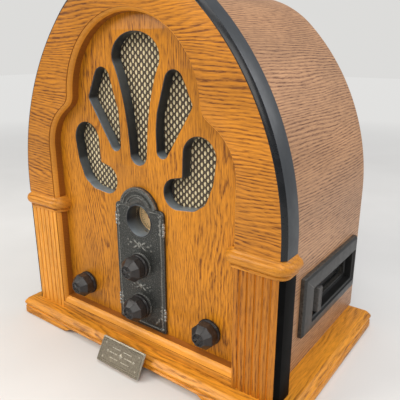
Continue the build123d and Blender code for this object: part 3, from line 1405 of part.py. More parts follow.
with BuildPart() as deck_motor:
    with BuildSketch(Plane.XY.offset(MOTOR_Z)):
        with Locations((MOTOR_X, at(MOTOR_DEPTH))):
            Circle(MOTOR_R)
    extrude(amount=MOTOR_TOP - MOTOR_Z)
    with BuildSketch(Plane.XY.offset(MOTOR_Z)):
        with Locations((MOTOR_X, at(MOTOR_DEPTH))):
            Circle(MOTOR_SHAFT_R + RUNNING_GAP)
    extrude(amount=MOTOR_BORE, mode=Mode.SUBTRACT)
    with BuildSketch(Plane.XY.offset(MOTOR_TOP)):
        with Locations((MOTOR_X + MOTOR_POST[0], at(MOTOR_DEPTH + MOTOR_POST[1]))):
            Circle(MOTOR_POST[2])
    extrude(amount=DECK_PLATE_Z - MOTOR_TOP)
deck_motor.part.label = "deck_motor"
export_step(deck_motor.part, "parts/deck_motor.step")

with BuildPart() as motor_pulley:
    for low, high, size in (
        (BELT_Z - 3.0, BELT_Z - 1.0, PULLEY_SMALL_R + BELT_GROOVE),
        (BELT_Z - 1.0, BELT_Z + 1.0, PULLEY_SMALL_R),
        (BELT_Z + 1.0, BELT_Z + 3.0, PULLEY_SMALL_R + BELT_GROOVE),
        (BELT_Z + 3.0, MOTOR_Z + MOTOR_BORE - 1.0, MOTOR_SHAFT_R),
    ):
        with BuildSketch(Plane.XY.offset(low)):
            with Locations((MOTOR_X, at(MOTOR_DEPTH))):
                Circle(size)
        extrude(amount=high - low)
motor_pulley.part.label = "motor_pulley"
export_step(motor_pulley.part, "parts/motor_pulley.step")

belt_outside = hull(
    (CAPSTAN_X, at(CAPSTAN_DEPTH), FLYWHEEL_R - BELT_GROOVE + CORD_GAP + BELT_THICKNESS),
    (MOTOR_X, at(MOTOR_DEPTH), PULLEY_SMALL_R + CORD_GAP + BELT_THICKNESS),
)
belt_inside = hull(
    (CAPSTAN_X, at(CAPSTAN_DEPTH), FLYWHEEL_R - BELT_GROOVE + CORD_GAP),
    (MOTOR_X, at(MOTOR_DEPTH), PULLEY_SMALL_R + CORD_GAP),
)

with BuildPart() as drive_belt:
    with BuildSketch(Plane.XY.offset(BELT_Z - BELT / 2)):
        add(belt_outside)
        add(belt_inside, mode=Mode.SUBTRACT)
    extrude(amount=BELT)
drive_belt.part.label = "drive_belt"
export_step(drive_belt.part, "parts/drive_belt.step")


with BuildPart() as head_plate:
    with BuildSketch(Plane.XY.offset(HEAD_PLATE_Z)):
        with Locations((HEAD_PLATE_X, at(HEAD_PLATE_DEPTH))):
            Rectangle(HEAD_PLATE_WIDTH, HEAD_PLATE_LENGTH)
        with Locations((ROLLER_X, at(ROLLER_DEPTH))):
            Circle(AXLE_BOSS_R)
    extrude(amount=HEAD_PLATE)
    with BuildSketch(Plane.XY.offset(HEAD_PLATE_Z + HEAD_PLATE)):
        with Locations((ROLLER_X, at(ROLLER_DEPTH))):
            Circle(AXLE_R)
    extrude(amount=AXLE_HEIGHT)
head_plate.part.label = "head_plate"
export_step(head_plate.part, "parts/head_plate.step")

with BuildPart() as tape_head:
    with BuildSketch(Plane.XY.offset(HEAD_PLATE_Z + HEAD_PLATE)):
        with Locations((HEAD_X, at(HEAD_DEPTH))):
            Rectangle(HEAD_WIDTH, HEAD_LENGTH)
    extrude(amount=HEAD_HEIGHT)
    fillet(tape_head.edges().filter_by(Axis.Z).group_by(Axis.Y)[-1], radius=HEAD_NOSE_R)
tape_head.part.label = "tape_head"
export_step(tape_head.part, "parts/tape_head.step")

with BuildPart() as pinch_roller:
    with BuildSketch(Plane.XY.offset(HEAD_PLATE_Z + HEAD_PLATE + 1.0)):
        with Locations((ROLLER_X, at(ROLLER_DEPTH))):
            Circle(ROLLER_R)
            Circle(AXLE_R + RUNNING_GAP, mode=Mode.SUBTRACT)
    extrude(amount=HEAD_HEIGHT)
pinch_roller.part.label = "pinch_roller"
export_step(pinch_roller.part, "parts/pinch_roller.step")
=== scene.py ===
import math
import random

import bmesh
import bpy
from mathutils import Matrix, Vector


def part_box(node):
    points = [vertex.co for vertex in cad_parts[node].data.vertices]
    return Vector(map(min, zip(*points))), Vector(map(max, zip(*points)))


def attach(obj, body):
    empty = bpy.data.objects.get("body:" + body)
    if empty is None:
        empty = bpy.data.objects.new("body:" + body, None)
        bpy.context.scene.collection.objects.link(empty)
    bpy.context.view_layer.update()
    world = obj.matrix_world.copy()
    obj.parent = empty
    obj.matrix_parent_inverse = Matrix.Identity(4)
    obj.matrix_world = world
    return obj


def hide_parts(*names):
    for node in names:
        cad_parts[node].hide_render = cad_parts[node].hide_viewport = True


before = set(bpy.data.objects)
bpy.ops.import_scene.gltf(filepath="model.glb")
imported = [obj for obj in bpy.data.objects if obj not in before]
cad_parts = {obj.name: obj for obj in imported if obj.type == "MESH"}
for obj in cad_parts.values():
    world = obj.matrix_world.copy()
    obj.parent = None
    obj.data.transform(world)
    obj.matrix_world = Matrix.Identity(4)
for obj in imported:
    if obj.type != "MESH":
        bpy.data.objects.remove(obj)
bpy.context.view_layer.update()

# Everything below is drawn in millimetres in the frame's own axes and scaled once, on the way in.
MM = 0.001

# ---------------------------------------------------------------- places, from the frame


def low(node):
    """A node's lowest corner, in millimetres."""
    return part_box(node)[0] / MM


def high(node):
    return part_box(node)[1] / MM


FRONT = low("front_frame").y
HALF = high("edge_trim").x
BASE_TOP = high("base_upper").z
CAPITAL_LOW = low("capital_left").z
CAPITAL_HIGH = high("capital_left").z
FRAME_DEPTH = high("front_frame").y - FRONT
PANEL_DEPTH = low("front_panel").y - FRONT
PANEL_BACK = high("front_panel").y - FRONT
BODY_BACK = high("cabinet_shell").y - FRONT
SPRING_Z = 134.0  # where the arch leaves its straight sides
SIDE_R = 211.0
TOP_R = 102.0
TRIM = 3.5
OPEN_HALF = 97.5  # the shaped opening: straight sides, a shoulder, a hollow waist and a crown
SHOULDER_R = 41.0
SHOULDER_Z = 176.0
SHOULDER_ANGLE = math.radians(55.0)
CROWN_R = 68.5
CROWN_Z = 218.5
WAIST_R = 11.0
BODY_INSET = HALF - high("cabinet_shell").x
WALL = 8.0
DIAL_Z = 125.0
CABINET = "cabinet"


def at(depth):
    return FRONT + depth


# ---------------------------------------------------------------- outlines, as (x, z) points


def arc(cx, cz, r, start, end, count):
    steps = [start + (end - start) * i / count for i in range(count + 1)]
    return [(cx + r * math.cos(a), cz + r * math.sin(a)) for a in steps]


def mirrored(right):
    """A right half, from the bottom up to the middle, and the same going down on the left."""
    tail = right[:-1] if abs(right[-1][0]) < 1e-6 else right
    return right + [(-x, z) for x, z in reversed(tail)]


def arch_line(inset, bottom):
    """The radio's outline from the front: one arc up each side and a smaller one over the top."""
    half = HALF - inset
    side_x = HALF - SIDE_R
    rise = math.sqrt((SIDE_R - TOP_R) ** 2 - side_x**2)
    blend = math.atan2(rise, -side_x)
    right = [(half, bottom)]
    right += arc(side_x, SPRING_Z, SIDE_R - inset, 0, blend, 56)
    right += arc(0, SPRING_Z + rise, TOP_R - inset, blend, math.pi / 2, 40)[1:]
    return mirrored(right)


def opening_line(grow, bottom):
    """The outline of the opening in the front frame, grown outward by a distance."""
    half = OPEN_HALF + grow
    sx = OPEN_HALF - SHOULDER_R
    normal = Vector((math.cos(SHOULDER_ANGLE), math.sin(SHOULDER_ANGLE)))
    along = Vector((-normal.y, normal.x))
    start = Vector((sx, SHOULDER_Z)) + normal * (SHOULDER_R + grow)
    crown_r = CROWN_R + grow
    waist_r = WAIST_R - grow
    crown = Vector((0, CROWN_Z))
    base = start + normal * waist_r - crown
    b = base.dot(along)
    c = base.length_squared - (crown_r + waist_r) ** 2
    centre = start + normal * waist_r + along * (-b - math.sqrt(b * b - c))
    toward = (crown - centre).normalized()
    first = math.atan2(-normal.y, -normal.x)
    last = math.atan2(toward.y, toward.x)
    if last > first:
        last -= 2 * math.pi
    right = [(half, bottom), (half, SHOULDER_Z - 20)]
    right += arc(sx, SHOULDER_Z, SHOULDER_R + grow, 0, SHOULDER_ANGLE, 18)
    right += arc(centre.x, centre.y, waist_r, first, last, 10)
    touch = crown - toward * crown_r
    angle = math.atan2(touch.y - CROWN_Z, touch.x)
    right += arc(0, CROWN_Z, crown_r, angle, math.pi / 2, 44)[1:]
    return mirrored(right)


def round_rect(x0, z0, x1, z1, r, count=5):
    points = []
    corners = ((x1 - r, z0 + r, -0.5), (x1 - r, z1 - r, 0), (x0 + r, z1 - r, 0.5), (x0 + r, z0 + r, 1))
    for cx, cz, start in corners:
        points += arc(cx, cz, r, start * math.pi, (start + 0.5) * math.pi, count)
    return points


def circle_line(x, z, r, count=40):
    return arc(x, z, r, 0, 2 * math.pi, count)[:-1]


def hull_line(*circles):
    """The convex outline drawn tight around circles given as (x, z, radius)."""
    cloud = sorted(set(p for x, z, r in circles for p in circle_line(x, z, r, 96)))

    def chain(points):
        out = []
        for p in points:
            while len(out) > 1:
                (ax, az), (bx, bz) = out[-2], out[-1]
                if (bx - ax) * (p[1] - az) - (bz - az) * (p[0] - ax) > 1e-9:
                    break
                out.pop()
            out.append(p)
        return out[:-1]

    return chain(cloud) + chain(cloud[::-1])


def laid(line, depth):
    """A line of (x, z) points, stood up at a depth behind the front."""
    return [(x, at(depth), z) for x, z in line]


# ---------------------------------------------------------------- meshes


def linked(name, data):
    obj = bpy.data.objects.new(name, data)
    bpy.context.scene.collection.objects.link(obj)
    return obj


def points_mesh(name, verts, faces):
    """A mesh from points in millimetres."""
    mesh = bpy.data.meshes.new(name)
    mesh.from_pydata([Vector(v) * MM for v in verts], [], faces)
    return mesh


def baked(obj):
    """The mesh that a curve, a text or a modified object shows."""
    bpy.context.view_layer.update()
    return bpy.data.meshes.new_from_object(obj.evaluated_get(bpy.context.evaluated_depsgraph_get()))


def place(name, mesh, material, body=CABINET, crease=32, replaces=None, slot=None):
    """Cleans a mesh, shades it, and sets it in the scene as a piece that rides on a body."""
    bm = bmesh.new()
    bm.from_mesh(mesh)
    bmesh.ops.remove_doubles(bm, verts=bm.verts, dist=1e-6)
    bmesh.ops.delete(bm, geom=[v for v in bm.verts if not v.link_faces], context="VERTS")
    bmesh.ops.recalc_face_normals(bm, faces=bm.faces)
    bm.to_mesh(mesh)
    bm.free()
    mesh.shade_smooth()
    mesh.set_sharp_from_angle(angle=math.radians(crease))
    obj = linked(name, mesh)
    for m in material if isinstance(material, list) else [material]:
        mesh.materials.append(m)
    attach(obj, body)
    if replaces:
        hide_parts(replaces)
    return obj


class Shape:
    """Collects vertices and faces of several closed forms into one mesh."""

    def __init__(self):
        self.verts = []
        self.faces = []
        self.marks = []

    def loft(self, loops, ring=False, caps=True, mark=0):
        """Skins a stack of closed loops. With ring, the last loop joins the first."""
        first = len(self.verts)
        count = len(loops[0])
        for points in loops:
            self.verts += [tuple(p) for p in points]
        total = len(loops)
        for k in range(total if ring else total - 1):
            a = first + k * count
            b = first + ((k + 1) % total) * count
            for i in range(count):
                j = (i + 1) % count
                self.add((a + i, a + j, b + j, b + i), mark)
        if caps and not ring:
            self.add(tuple(range(first + count - 1, first - 1, -1)), mark)
            last = first + (total - 1) * count
            self.add(tuple(range(last, last + count)), mark)

    def add(self, face, mark=0):
        self.faces.append(face)
        self.marks.append(mark)

    def sweep(self, path, section, mark=0):
        """Carries a closed (inset, depth) section along path(inset), an open line of (x, z)."""
        lines = [laid(path(inset), depth) for inset, depth in section]
        self.loft([list(column) for column in zip(*lines)], mark=mark)

    def lathe(self, x, depth, z, profile, count=48, mark=0):
        """Turns (radius, height in front of a depth) points round an axis along Y."""
        self.loft([laid(circle_line(x, z, r, count), depth - height) for r, height in profile], mark=mark)

    def stack(self, outline, levels, mark=0):
        """Skins outline(offset), a closed line of (x, z), at (offset, depth) levels."""
        self.loft([laid(outline(offset), depth) for offset, depth in levels], mark=mark)

    def slab(self, line, depths, **options):
        """A plate with the same closed line of (x, z) at every depth."""
        self.loft([laid(line, depth) for depth in depths], **options)

    def make(self, name, material, **options):
        mesh = points_mesh(name, self.verts, self.faces)
        for polygon, mark in zip(mesh.polygons, self.marks):
            polygon.material_index = mark
        return place(name, mesh, material, **options)


def facing_front(x, depth, z):
    """Stands a flat mesh drawn in X and Y up in X and Z, at a place in millimetres."""
    return Matrix(((1, 0, 0, x * MM), (0, 0, -1, at(depth) * MM), (0, 1, 0, z * MM), (0, 0, 0, 1)))


def plate_mesh(name, outlines, front, back, round_edge):
    """A flat plate with holes: closed (x, z) outlines, filled and thickened between two depths."""
    curve = bpy.data.curves.new(name, "CURVE")
    curve.dimensions = "2D"
    curve.fill_mode = "BOTH"
    curve.extrude = ((back - front) / 2 - round_edge) * MM
    curve.bevel_depth = round_edge * MM
    curve.bevel_resolution = 2
    for points in outlines:
        spline = curve.splines.new("POLY")
        spline.points.add(len(points) - 1)
        spline.use_cyclic_u = True
        for point, (x, z) in zip(spline.points, points):
            point.co = (x * MM, z * MM, 0, 1)
    holder = linked(name, curve)
    mesh = baked(holder)
    bpy.data.objects.remove(holder)
    bpy.data.curves.remove(curve)
    mesh.transform(facing_front(0, (front + back) / 2, 0))
    mesh.name = name
    return mesh


def cut(obj, *cutters):
    """Takes closed cutter meshes out of a piece, for good."""
    for cutter in cutters:
        modifier = obj.modifiers.new("cut", "BOOLEAN")
        modifier.operation = "DIFFERENCE"
        modifier.solver = "EXACT"
        modifier.object = cutter
    mesh = baked(obj)
    obj.modifiers.clear()
    obj.data = mesh
    for cutter in cutters:
        bpy.data.objects.remove(cutter)


def box_cutter(x0, x1, d0, d1, z0, z1):
    shape = Shape()
    shape.slab([(x0, z0), (x1, z0), (x1, z1), (x0, z1)], (d0, d1))
    mesh = points_mesh("cutter", shape.verts, shape.faces)
    bm = bmesh.new()
    bm.from_mesh(mesh)
    bmesh.ops.recalc_face_normals(bm, faces=bm.faces)
    bm.to_mesh(mesh)
    bm.free()
    return linked("cutter", mesh)


# ---------------------------------------------------------------- materials


class Tree:
    """A small helper for writing a node material."""

    def __init__(self, name):
        self.material = bpy.data.materials.new(name)
        self.material.use_nodes = True
        self.tree = self.material.node_tree
        self.shader = self.tree.nodes["Principled BSDF"]
        self.coords = self.node("ShaderNodeTexCoord").outputs["Object"]

    def node(self, kind, inputs=None, **props):
        made = self.tree.nodes.new(kind)
        for key, value in props.items():
            setattr(made, key, value)
        for key, value in (inputs or {}).items():
            if isinstance(value, bpy.types.NodeSocket):
                self.tree.links.new(value, made.inputs[key])
            else:
                made.inputs[key].default_value = value
        return made

    def stretch(self, x, y, z, source=None):
        """Coordinates counted in cells of the given sizes in millimetres."""
        factors = tuple(1000.0 / c for c in (x, y, z))
        inputs = {0: source or self.coords, 1: factors}
        return self.node("ShaderNodeVectorMath", inputs, operation="MULTIPLY").outputs[0]

    def noise(self, vector, detail=2.0, rough=0.5, warp=0.0):
        inputs = {"Vector": vector, "Scale": 1.0, "Detail": detail, "Roughness": rough, "Distortion": warp}
        return self.node("ShaderNodeTexNoise", inputs).outputs["Fac"]

    def dot(self, a, b):
        return self.node("ShaderNodeVectorMath", {0: a, 1: b}, operation="DOT_PRODUCT").outputs["Value"]

    def math(self, operation, a, b=0.0, c=0.0):
        return self.node("ShaderNodeMath", {0: a, 1: b, 2: c}, operation=operation).outputs[0]

    def span(self, value, a, b, c=0.0, d=1.0):
        """Maps a to b onto c to d, clamped."""
        inputs = {"Value": value, "From Min": a, "From Max": b, "To Min": c, "To Max": d}
        return self.node("ShaderNodeMapRange", inputs).outputs[0]

    def mix(self, fac, a, b, blend="MIX"):
        made = self.node("ShaderNodeMix", data_type="RGBA", blend_type=blend)
        for key, value in ((0, fac), (6, a), (7, b)):
            if isinstance(value, bpy.types.NodeSocket):
                self.tree.links.new(value, made.inputs[key])
            else:
                made.inputs[key].default_value = value if key == 0 else (*value, 1.0)
        return made.outputs[2]

    def ramp(self, value, stops):
        made = self.node("ShaderNodeValToRGB", {"Fac": value})
        ramp = made.color_ramp
        while len(ramp.elements) < len(stops):
            ramp.elements.new(0.5)
        for element, (place_at, grey) in zip(ramp.elements, stops):
            element.position = place_at
            element.color = (grey, grey, grey, 1.0)
        return made.outputs["Color"]

    def bump(self, height, distance, strength=1.0):
        inputs = {"Height": height, "Distance": distance * MM, "Strength": strength}
        normal = self.node("ShaderNodeBump", inputs).outputs[0]
        self.set("Normal", normal)
        return normal

    def set(self, socket, value):
        if isinstance(value, bpy.types.NodeSocket):
            self.tree.links.new(value, self.shader.inputs[socket])
        elif isinstance(value, tuple) and len(value) == 3:
            self.shader.inputs[socket].default_value = (*value, 1.0)
        else:
            self.shader.inputs[socket].default_value = value

    def worn(self):
        """How far the surface stands out as an edge, 0 to 1."""
        return self.node("ShaderNodeNewGeometry").outputs["Pointiness"]


def wood(
    name, along, across, light, dark, pitch=3.6, sway=1.0, figure=0.8, pore=0.75, gloss=0.38,
    mapped=False, even=0.3, shine=0.26, mitre=None,
):
    """Lacquered oak: porous growth lines, fibres and soft figure that all run along one axis."""
    t = Tree(name)
    if mapped:
        t.coords = t.node("ShaderNodeAttribute", attribute_name="grain").outputs["Vector"]
    if mitre:
        # Past a mitre line from the front corner, the grain turns to run front to back.
        spot = t.node("ShaderNodeSeparateXYZ", {0: t.coords}).outputs
        to_side = t.math("SUBTRACT", mitre[0] * MM, t.math("ABSOLUTE", spot[0]))
        to_front = t.math("SUBTRACT", spot[1], mitre[1] * MM)
        turned = t.node("ShaderNodeCombineXYZ", {0: spot[1], 1: spot[0], 2: spot[2]}).outputs[0]
        t.coords = t.mix(t.math("GREATER_THAN", to_front, to_side), t.coords, turned)

    def cells(length, width):
        sizes = [width, width, width]
        sizes["xyz".index(along)] = length
        return t.stretch(*sizes)

    weights = tuple(1000.0 * w / pitch for w in across)
    steps = t.dot(t.coords, weights)
    for length, width, amount in ((210.0, 46.0, 7.0), (60.0, 13.0, 1.5), (19.0, 5.0, 0.45)):
        wander = t.math("MULTIPLY", t.noise(cells(length, width), 1.0), amount * sway)
        steps = t.math("ADD", steps, wander)
    band = t.math("FRACT", steps)
    early = t.ramp(band, ((0.0, 0.35), (0.08, 1.0), (0.3, 0.8), (0.5, 0.22), (0.8, 0.0), (1.0, 0.35)))
    strength = t.span(t.noise(cells(110.0, 18.0), 1.0), 0.36, 0.66, even, 1.0)
    early = t.math("MULTIPLY", early, strength)
    dashes = t.span(t.noise(cells(9.0, 0.85), 2.0, 0.65), 0.48, 0.58)
    fibres = t.span(t.noise(cells(26.0, 1.2), 3.0, 0.7), 0.38, 0.62)
    pores = t.math("MULTIPLY", dashes, t.span(early, 0.0, 0.7, 0.34, 1.0))
    facing = t.node("ShaderNodeNewGeometry").outputs["Normal"]
    amount = t.math("MULTIPLY", early, 0.6 * figure)
    amount = t.math("ADD", amount, t.math("MULTIPLY", pores, pore * 0.66))
    amount = t.math("ADD", amount, t.math("MULTIPLY", fibres, 0.26))
    if along == "x" and not mapped and not mitre:
        end_grain = t.span(t.math("ABSOLUTE", t.dot(facing, (1.0, 0.0, 0.0))), 0.35, 0.85)
        amount = t.math("MULTIPLY", amount, t.span(end_grain, 0.0, 1.0, 1.0, 0.45))
        amount = t.math("ADD", amount, t.math("MULTIPLY", end_grain, 0.22))
    color = t.mix(amount, light, dark)
    warm = t.span(t.noise(cells(170.0, 60.0), 2.0), 0.3, 0.7, 0.76, 1.12)
    scale = t.node("ShaderNodeCombineColor", {0: warm, 1: warm, 2: warm}).outputs[0]
    t.set("Base Color", t.mix(1.0, color, scale, "MULTIPLY"))
    t.set("Roughness", t.span(amount, 0.0, 1.0, gloss - 0.05, gloss + 0.12))
    t.set("Specular IOR Level", shine)
    t.set("Coat Weight", 0.02)
    t.set("Coat Roughness", 0.34)
    relief = t.math("ADD", t.math("MULTIPLY", pores, -1.0), t.math("MULTIPLY", early, -0.3))
    t.bump(relief, 0.06, 0.6)
    return t.material


def plain(
    name, color, second, cell=3.0, rough=0.4, metal=0.0, coat=0.0, grain=0.0, edge=None, specks=None,
    shine=0.5, raised=None, painted_top_light=None,
):
    """A moulded, painted or metal surface: blotches of two tones, fine grain and lighter edges, and on
    request a painted top light that lightens faces looking up.
    """
    t = Tree(name)
    blotch = t.span(t.noise(t.stretch(cell, cell, cell), 4.0, 0.6), 0.3, 0.7)
    base = t.mix(blotch, color, second)
    if specks:
        dots = t.span(t.noise(t.stretch(0.8, 0.8, 0.8), 2.0, 0.7), 0.6, 0.72)
        base = t.mix(dots, base, specks)
    if raised:
        high_spots = t.node("ShaderNodeAttribute", attribute_name="raised").outputs["Fac"]
        rub = t.span(t.noise(t.stretch(0.9, 0.9, 0.9), 3.0), 0.35, 0.6)
        base = t.mix(t.math("MULTIPLY", t.span(high_spots, 0.25, 0.9), rub), base, raised)
    # Painted top light: faces that look up are mixed toward a lighter colour, as if lit from above.
    if painted_top_light:
        normal = t.node("ShaderNodeNewGeometry").outputs["Normal"]
        upward = t.span(t.dot(normal, (0.2, 0.0, 0.98)), 0.3, 0.97)
        base = t.mix(t.math("MULTIPLY", upward, t.span(blotch, 0.0, 1.0, 0.75, 1.0)), base, painted_top_light)
    if edge:
        wear = t.span(t.worn(), 0.52, 0.62)
        wear = t.math("MULTIPLY", wear, t.span(t.noise(t.stretch(1.6, 1.6, 1.6), 3.0), 0.3, 0.6))
        base = t.mix(wear, base, edge)
    t.set("Base Color", base)
    t.set("Metallic", metal)
    t.set("Roughness", t.span(blotch, 0.0, 1.0, max(rough - 0.06, 0.02), rough + 0.08))
    t.set("Specular IOR Level", shine)
    t.set("Coat Weight", coat)
    t.set("Coat Roughness", 0.12)
    if grain:
        t.bump(t.noise(t.stretch(0.45, 0.45, 0.45), 3.0, 0.6), grain, 0.6)
    return t.material


def brushed(name, color, along="x", rough=0.3):
    """Bare metal with fine scratches along one axis."""
    t = Tree(name)
    sizes = [0.25, 0.25, 0.25]
    sizes["xyz".index(along)] = 14.0
    scratch = t.noise(t.stretch(*sizes), 3.0, 0.6)
    t.set("Base Color", t.mix(t.span(scratch, 0.3, 0.7), color, tuple(c * 0.8 for c in color)))
    t.set("Metallic", 1.0)
    t.set("Roughness", t.span(scratch, 0.3, 0.7, rough - 0.06, rough + 0.1))
    t.bump(scratch, 0.02, 0.4)
    return t.material


def clear(name):
    t = Tree(name)
    smear = t.noise(t.stretch(6.0, 6.0, 6.0), 3.0)
    t.set("Base Color", t.mix(t.span(smear, 0.3, 0.7), (0.95, 0.96, 0.95), (0.9, 0.92, 0.91)))
    t.set("Transmission Weight", 1.0)
    t.set("IOR", 1.1)
    t.set("Roughness", t.span(smear, 0.3, 0.7, 0.0, 0.04))
    return t.material


def woven(name, color, second, cell, fuzz):
    """Twisted threads: fine crossing ribs and a soft sheen."""
    t = Tree(name)
    ribs = t.node(
        "ShaderNodeTexWave",
        {"Vector": t.stretch(cell, cell, cell), "Scale": 1.0, "Distortion": 1.5, "Detail": 2.0},
        bands_direction="DIAGONAL",
    ).outputs["Fac"]
    fine = t.noise(t.stretch(cell * 0.4, cell * 0.4, cell * 2.0), 3.0, 0.7)
    amount = t.math("MULTIPLY", ribs, fine)
    t.set("Base Color", t.mix(t.span(amount, 0.15, 0.5), second, color))
    t.set("Roughness", 0.75)
    t.set("Sheen Weight", fuzz)
    t.bump(amount, 0.12, 0.8)
    return t.material


GOLD = (0.66, 0.25, 0.02)
GOLD_DARK = (0.15, 0.042, 0.004)
PALE = (0.64, 0.243, 0.013)
oak_arch = wood("oak_arch", "x", (0, 0.25, 1.0), GOLD, GOLD_DARK, 2.8, 1.9, 1.05, 0.74, even=0.4)
oak_upright = wood(
    "oak_upright", "z", (1.0, 0.3, 0), (0.54, 0.192, 0.014), GOLD_DARK, 3.4, 0.8, 0.75, 0.85,
)
oak_pale = wood(
    "oak_pale", "z", (1.0, 0.3, 0), (0.9, 0.385, 0.045), (0.33, 0.11, 0.012), 3.4, 0.8, 0.55, 0.65,
)
oak_panel = wood(
    "oak_panel", "z", (1.0, 0.2, 0), PALE, (0.165, 0.048, 0.004), 2.7, 2.8, 0.8, 1.0, even=0.22,
)
# Lit and shaded copies of the frame's oak: a darker one for painted shade on the opening's step and wall, and
# a paler one for a painted highlight on its bevel.
oak_painted_shade = wood(
    "oak_painted_shade", "x", (0, 0.3, 1.0), (0.36, 0.12, 0.016), (0.13, 0.036, 0.005), 3.0, 0.6, 0.4, 0.5,
)
oak_bevel_painted_highlight = wood(
    "oak_bevel_painted_highlight", "x", (0, 0.3, 1.0), (0.8, 0.33, 0.036), (0.42, 0.14, 0.014), 3.0, 0.6, 0.3, 0.3,
)
oak_rail = wood("oak_rail", "x", (0, 0.6, 1.0), (0.68, 0.27, 0.026), GOLD_DARK, 4.0, 0.8, 0.55, 0.65)
BASE_CORNER = (high("base_upper").x, low("base_upper").y)
oak_base = wood(
    "oak_base", "x", (0, 1.0, 0.5), (0.86, 0.345, 0.03), (0.19, 0.056, 0.005), 4.4, 1.6, 0.8, 0.6, 0.34,
    mitre=BASE_CORNER,
)
veneer = wood(
    "veneer", "x", (0, 1.0, 0), (0.59, 0.318, 0.156), (0.14, 0.054, 0.022), 2.4, 1.1, 0.92, 0.75, 0.44,
    mapped=True, even=0.6, shine=0.6,
)
# Lit and shaded copies of the black trim: a lighter grey for a painted sheen on the arch's side faces, and a
# darker black for painted shade on the legs below the capitals.
trim_side_painted_sheen = plain(
    "trim_side_painted_sheen", (0.05, 0.055, 0.06), (0.036, 0.04, 0.044), 9.0, 0.34, grain=0.01, shine=0.42,
)
black_trim = plain(
    "black_trim", (0.007, 0.008, 0.009), (0.011, 0.012, 0.014), 9.0, 0.26, grain=0.01, shine=0.36,
)
trim_leg_painted_shade = plain(
    "trim_leg_painted_shade", (0.002, 0.002, 0.002), (0.004, 0.004, 0.004), 9.0, 0.4, grain=0.01, shine=0.03,
)
# Black paint for the openings' walls and the dial well, lighter blue-grey where it faces up: painted top
# light.
black_wall = plain(
    "black_wall", (0.008, 0.009, 0.012), (0.02, 0.023, 0.028),
    4.0, 0.34, coat=0.35, grain=0.04, painted_top_light=(0.215, 0.245, 0.265),
)
pewter = plain(
    "pewter", (0.016, 0.018, 0.017), (0.06, 0.062, 0.058), 1.2, 0.34, 0.55,
    grain=0.14, edge=(0.3, 0.3, 0.28), specks=(0.26, 0.26, 0.24), raised=(0.36, 0.36, 0.33),
)
worn_pewter = plain(
    "worn_pewter", (0.3, 0.3, 0.28), (0.075, 0.075, 0.07),
    0.9, 0.32, 0.7, grain=0.15, edge=(0.8, 0.79, 0.74),
)
plate_metal = plain(
    "plate_metal", (0.235, 0.203, 0.15), (0.115, 0.098, 0.07), 1.6, 0.38, 0.6,
    grain=0.14, edge=(0.75, 0.71, 0.6), specks=(0.09, 0.075, 0.05),
)
knob_brown = plain(
    "knob_brown", (0.009, 0.008, 0.008), (0.018, 0.016, 0.016),
    3.0, 0.36, coat=0.06, edge=(0.06, 0.05, 0.045), shine=0.42,
)
black_plastic = plain(
    "black_plastic", (0.009, 0.009, 0.009), (0.016, 0.016, 0.015),
    6.0, 0.34, grain=0.02, edge=(0.12, 0.11, 0.095), shine=0.4,
)
grey_plastic = plain(
    "grey_plastic", (0.035, 0.033, 0.032), (0.055, 0.052, 0.05),
    6.0, 0.4, grain=0.02, edge=(0.16, 0.15, 0.14),
)
ivory_plastic = plain("ivory_plastic", (0.62, 0.6, 0.54), (0.56, 0.53, 0.47), 8.0, 0.42, grain=0.02)
thread_dark = woven("thread_dark", (0.06, 0.04, 0.022), (0.014, 0.01, 0.006), 0.5, 0.2)
thread_brown = woven("thread_brown", (0.26, 0.18, 0.085), (0.085, 0.052, 0.024), 0.5, 0.2)
thread_cream = woven("thread_cream", (0.98, 0.9, 0.64), (0.7, 0.55, 0.28), 0.35, 0.4)
thread_waxed = woven("thread_waxed", (0.26, 0.16, 0.08), (0.12, 0.07, 0.03), 0.4, 0.3)
felt = woven("felt", (0.06, 0.045, 0.045), (0.025, 0.018, 0.018), 0.7, 0.8)
zinc = brushed("zinc", (0.5, 0.51, 0.53), "x", 0.34)
steel = brushed("steel", (0.62, 0.62, 0.63), "z", 0.18)
brass = brushed("brass", (0.62, 0.43, 0.17), "y", 0.28)
vane = brushed("vane", (0.6, 0.61, 0.62), "x", 0.3)
hardboard = plain(
    "hardboard", (0.12, 0.08, 0.052), (0.075, 0.048, 0.03),
    1.3, 0.62, grain=0.06, specks=(0.05, 0.03, 0.02),
)
stained = plain("stained_board", (0.028, 0.026, 0.024), (0.045, 0.041, 0.037), 3.0, 0.6, grain=0.08)
paper = plain("pressed_paper", (0.03, 0.028, 0.026), (0.05, 0.047, 0.043), 1.8, 0.75, grain=0.1)
ferrite = plain("ferrite", (0.045, 0.045, 0.05), (0.07, 0.07, 0.076), 2.0, 0.5, 0.2, grain=0.05)
board = plain(
    "circuit_board", (0.02, 0.12, 0.045), (0.03, 0.17, 0.07),
    5.0, 0.35, coat=0.3, specks=(0.35, 0.3, 0.16),
)
laminate = plain("laminations", (0.11, 0.1, 0.1), (0.17, 0.15, 0.14), 1.5, 0.4, 0.5, grain=0.06)
rubber = plain("rubber", (0.018, 0.018, 0.019), (0.028, 0.028, 0.029), 2.5, 0.7, grain=0.04)
dial_card = plain("dial_card", (0.8, 0.56, 0.3), (0.7, 0.46, 0.22), 7.0, 0.5, grain=0.02)
# The dial card gives off a little light of its own: painted light that brightens it down in its shaded well.
CARD_PAINTED_LIGHT = (0.8, 0.52, 0.26, 1.0)
dial_card.node_tree.nodes["Principled BSDF"].inputs["Emission Color"].default_value = CARD_PAINTED_LIGHT
dial_card.node_tree.nodes["Principled BSDF"].inputs["Emission Strength"].default_value = 0.22
dial_ink = plain("dial_ink", (0.035, 0.025, 0.02), (0.06, 0.045, 0.035), 1.5, 0.5)
pointer_red = plain("pointer_red", (0.4, 0.03, 0.02), (0.3, 0.02, 0.015), 2.0, 0.3, coat=0.5)
lens = clear("clear_lens")

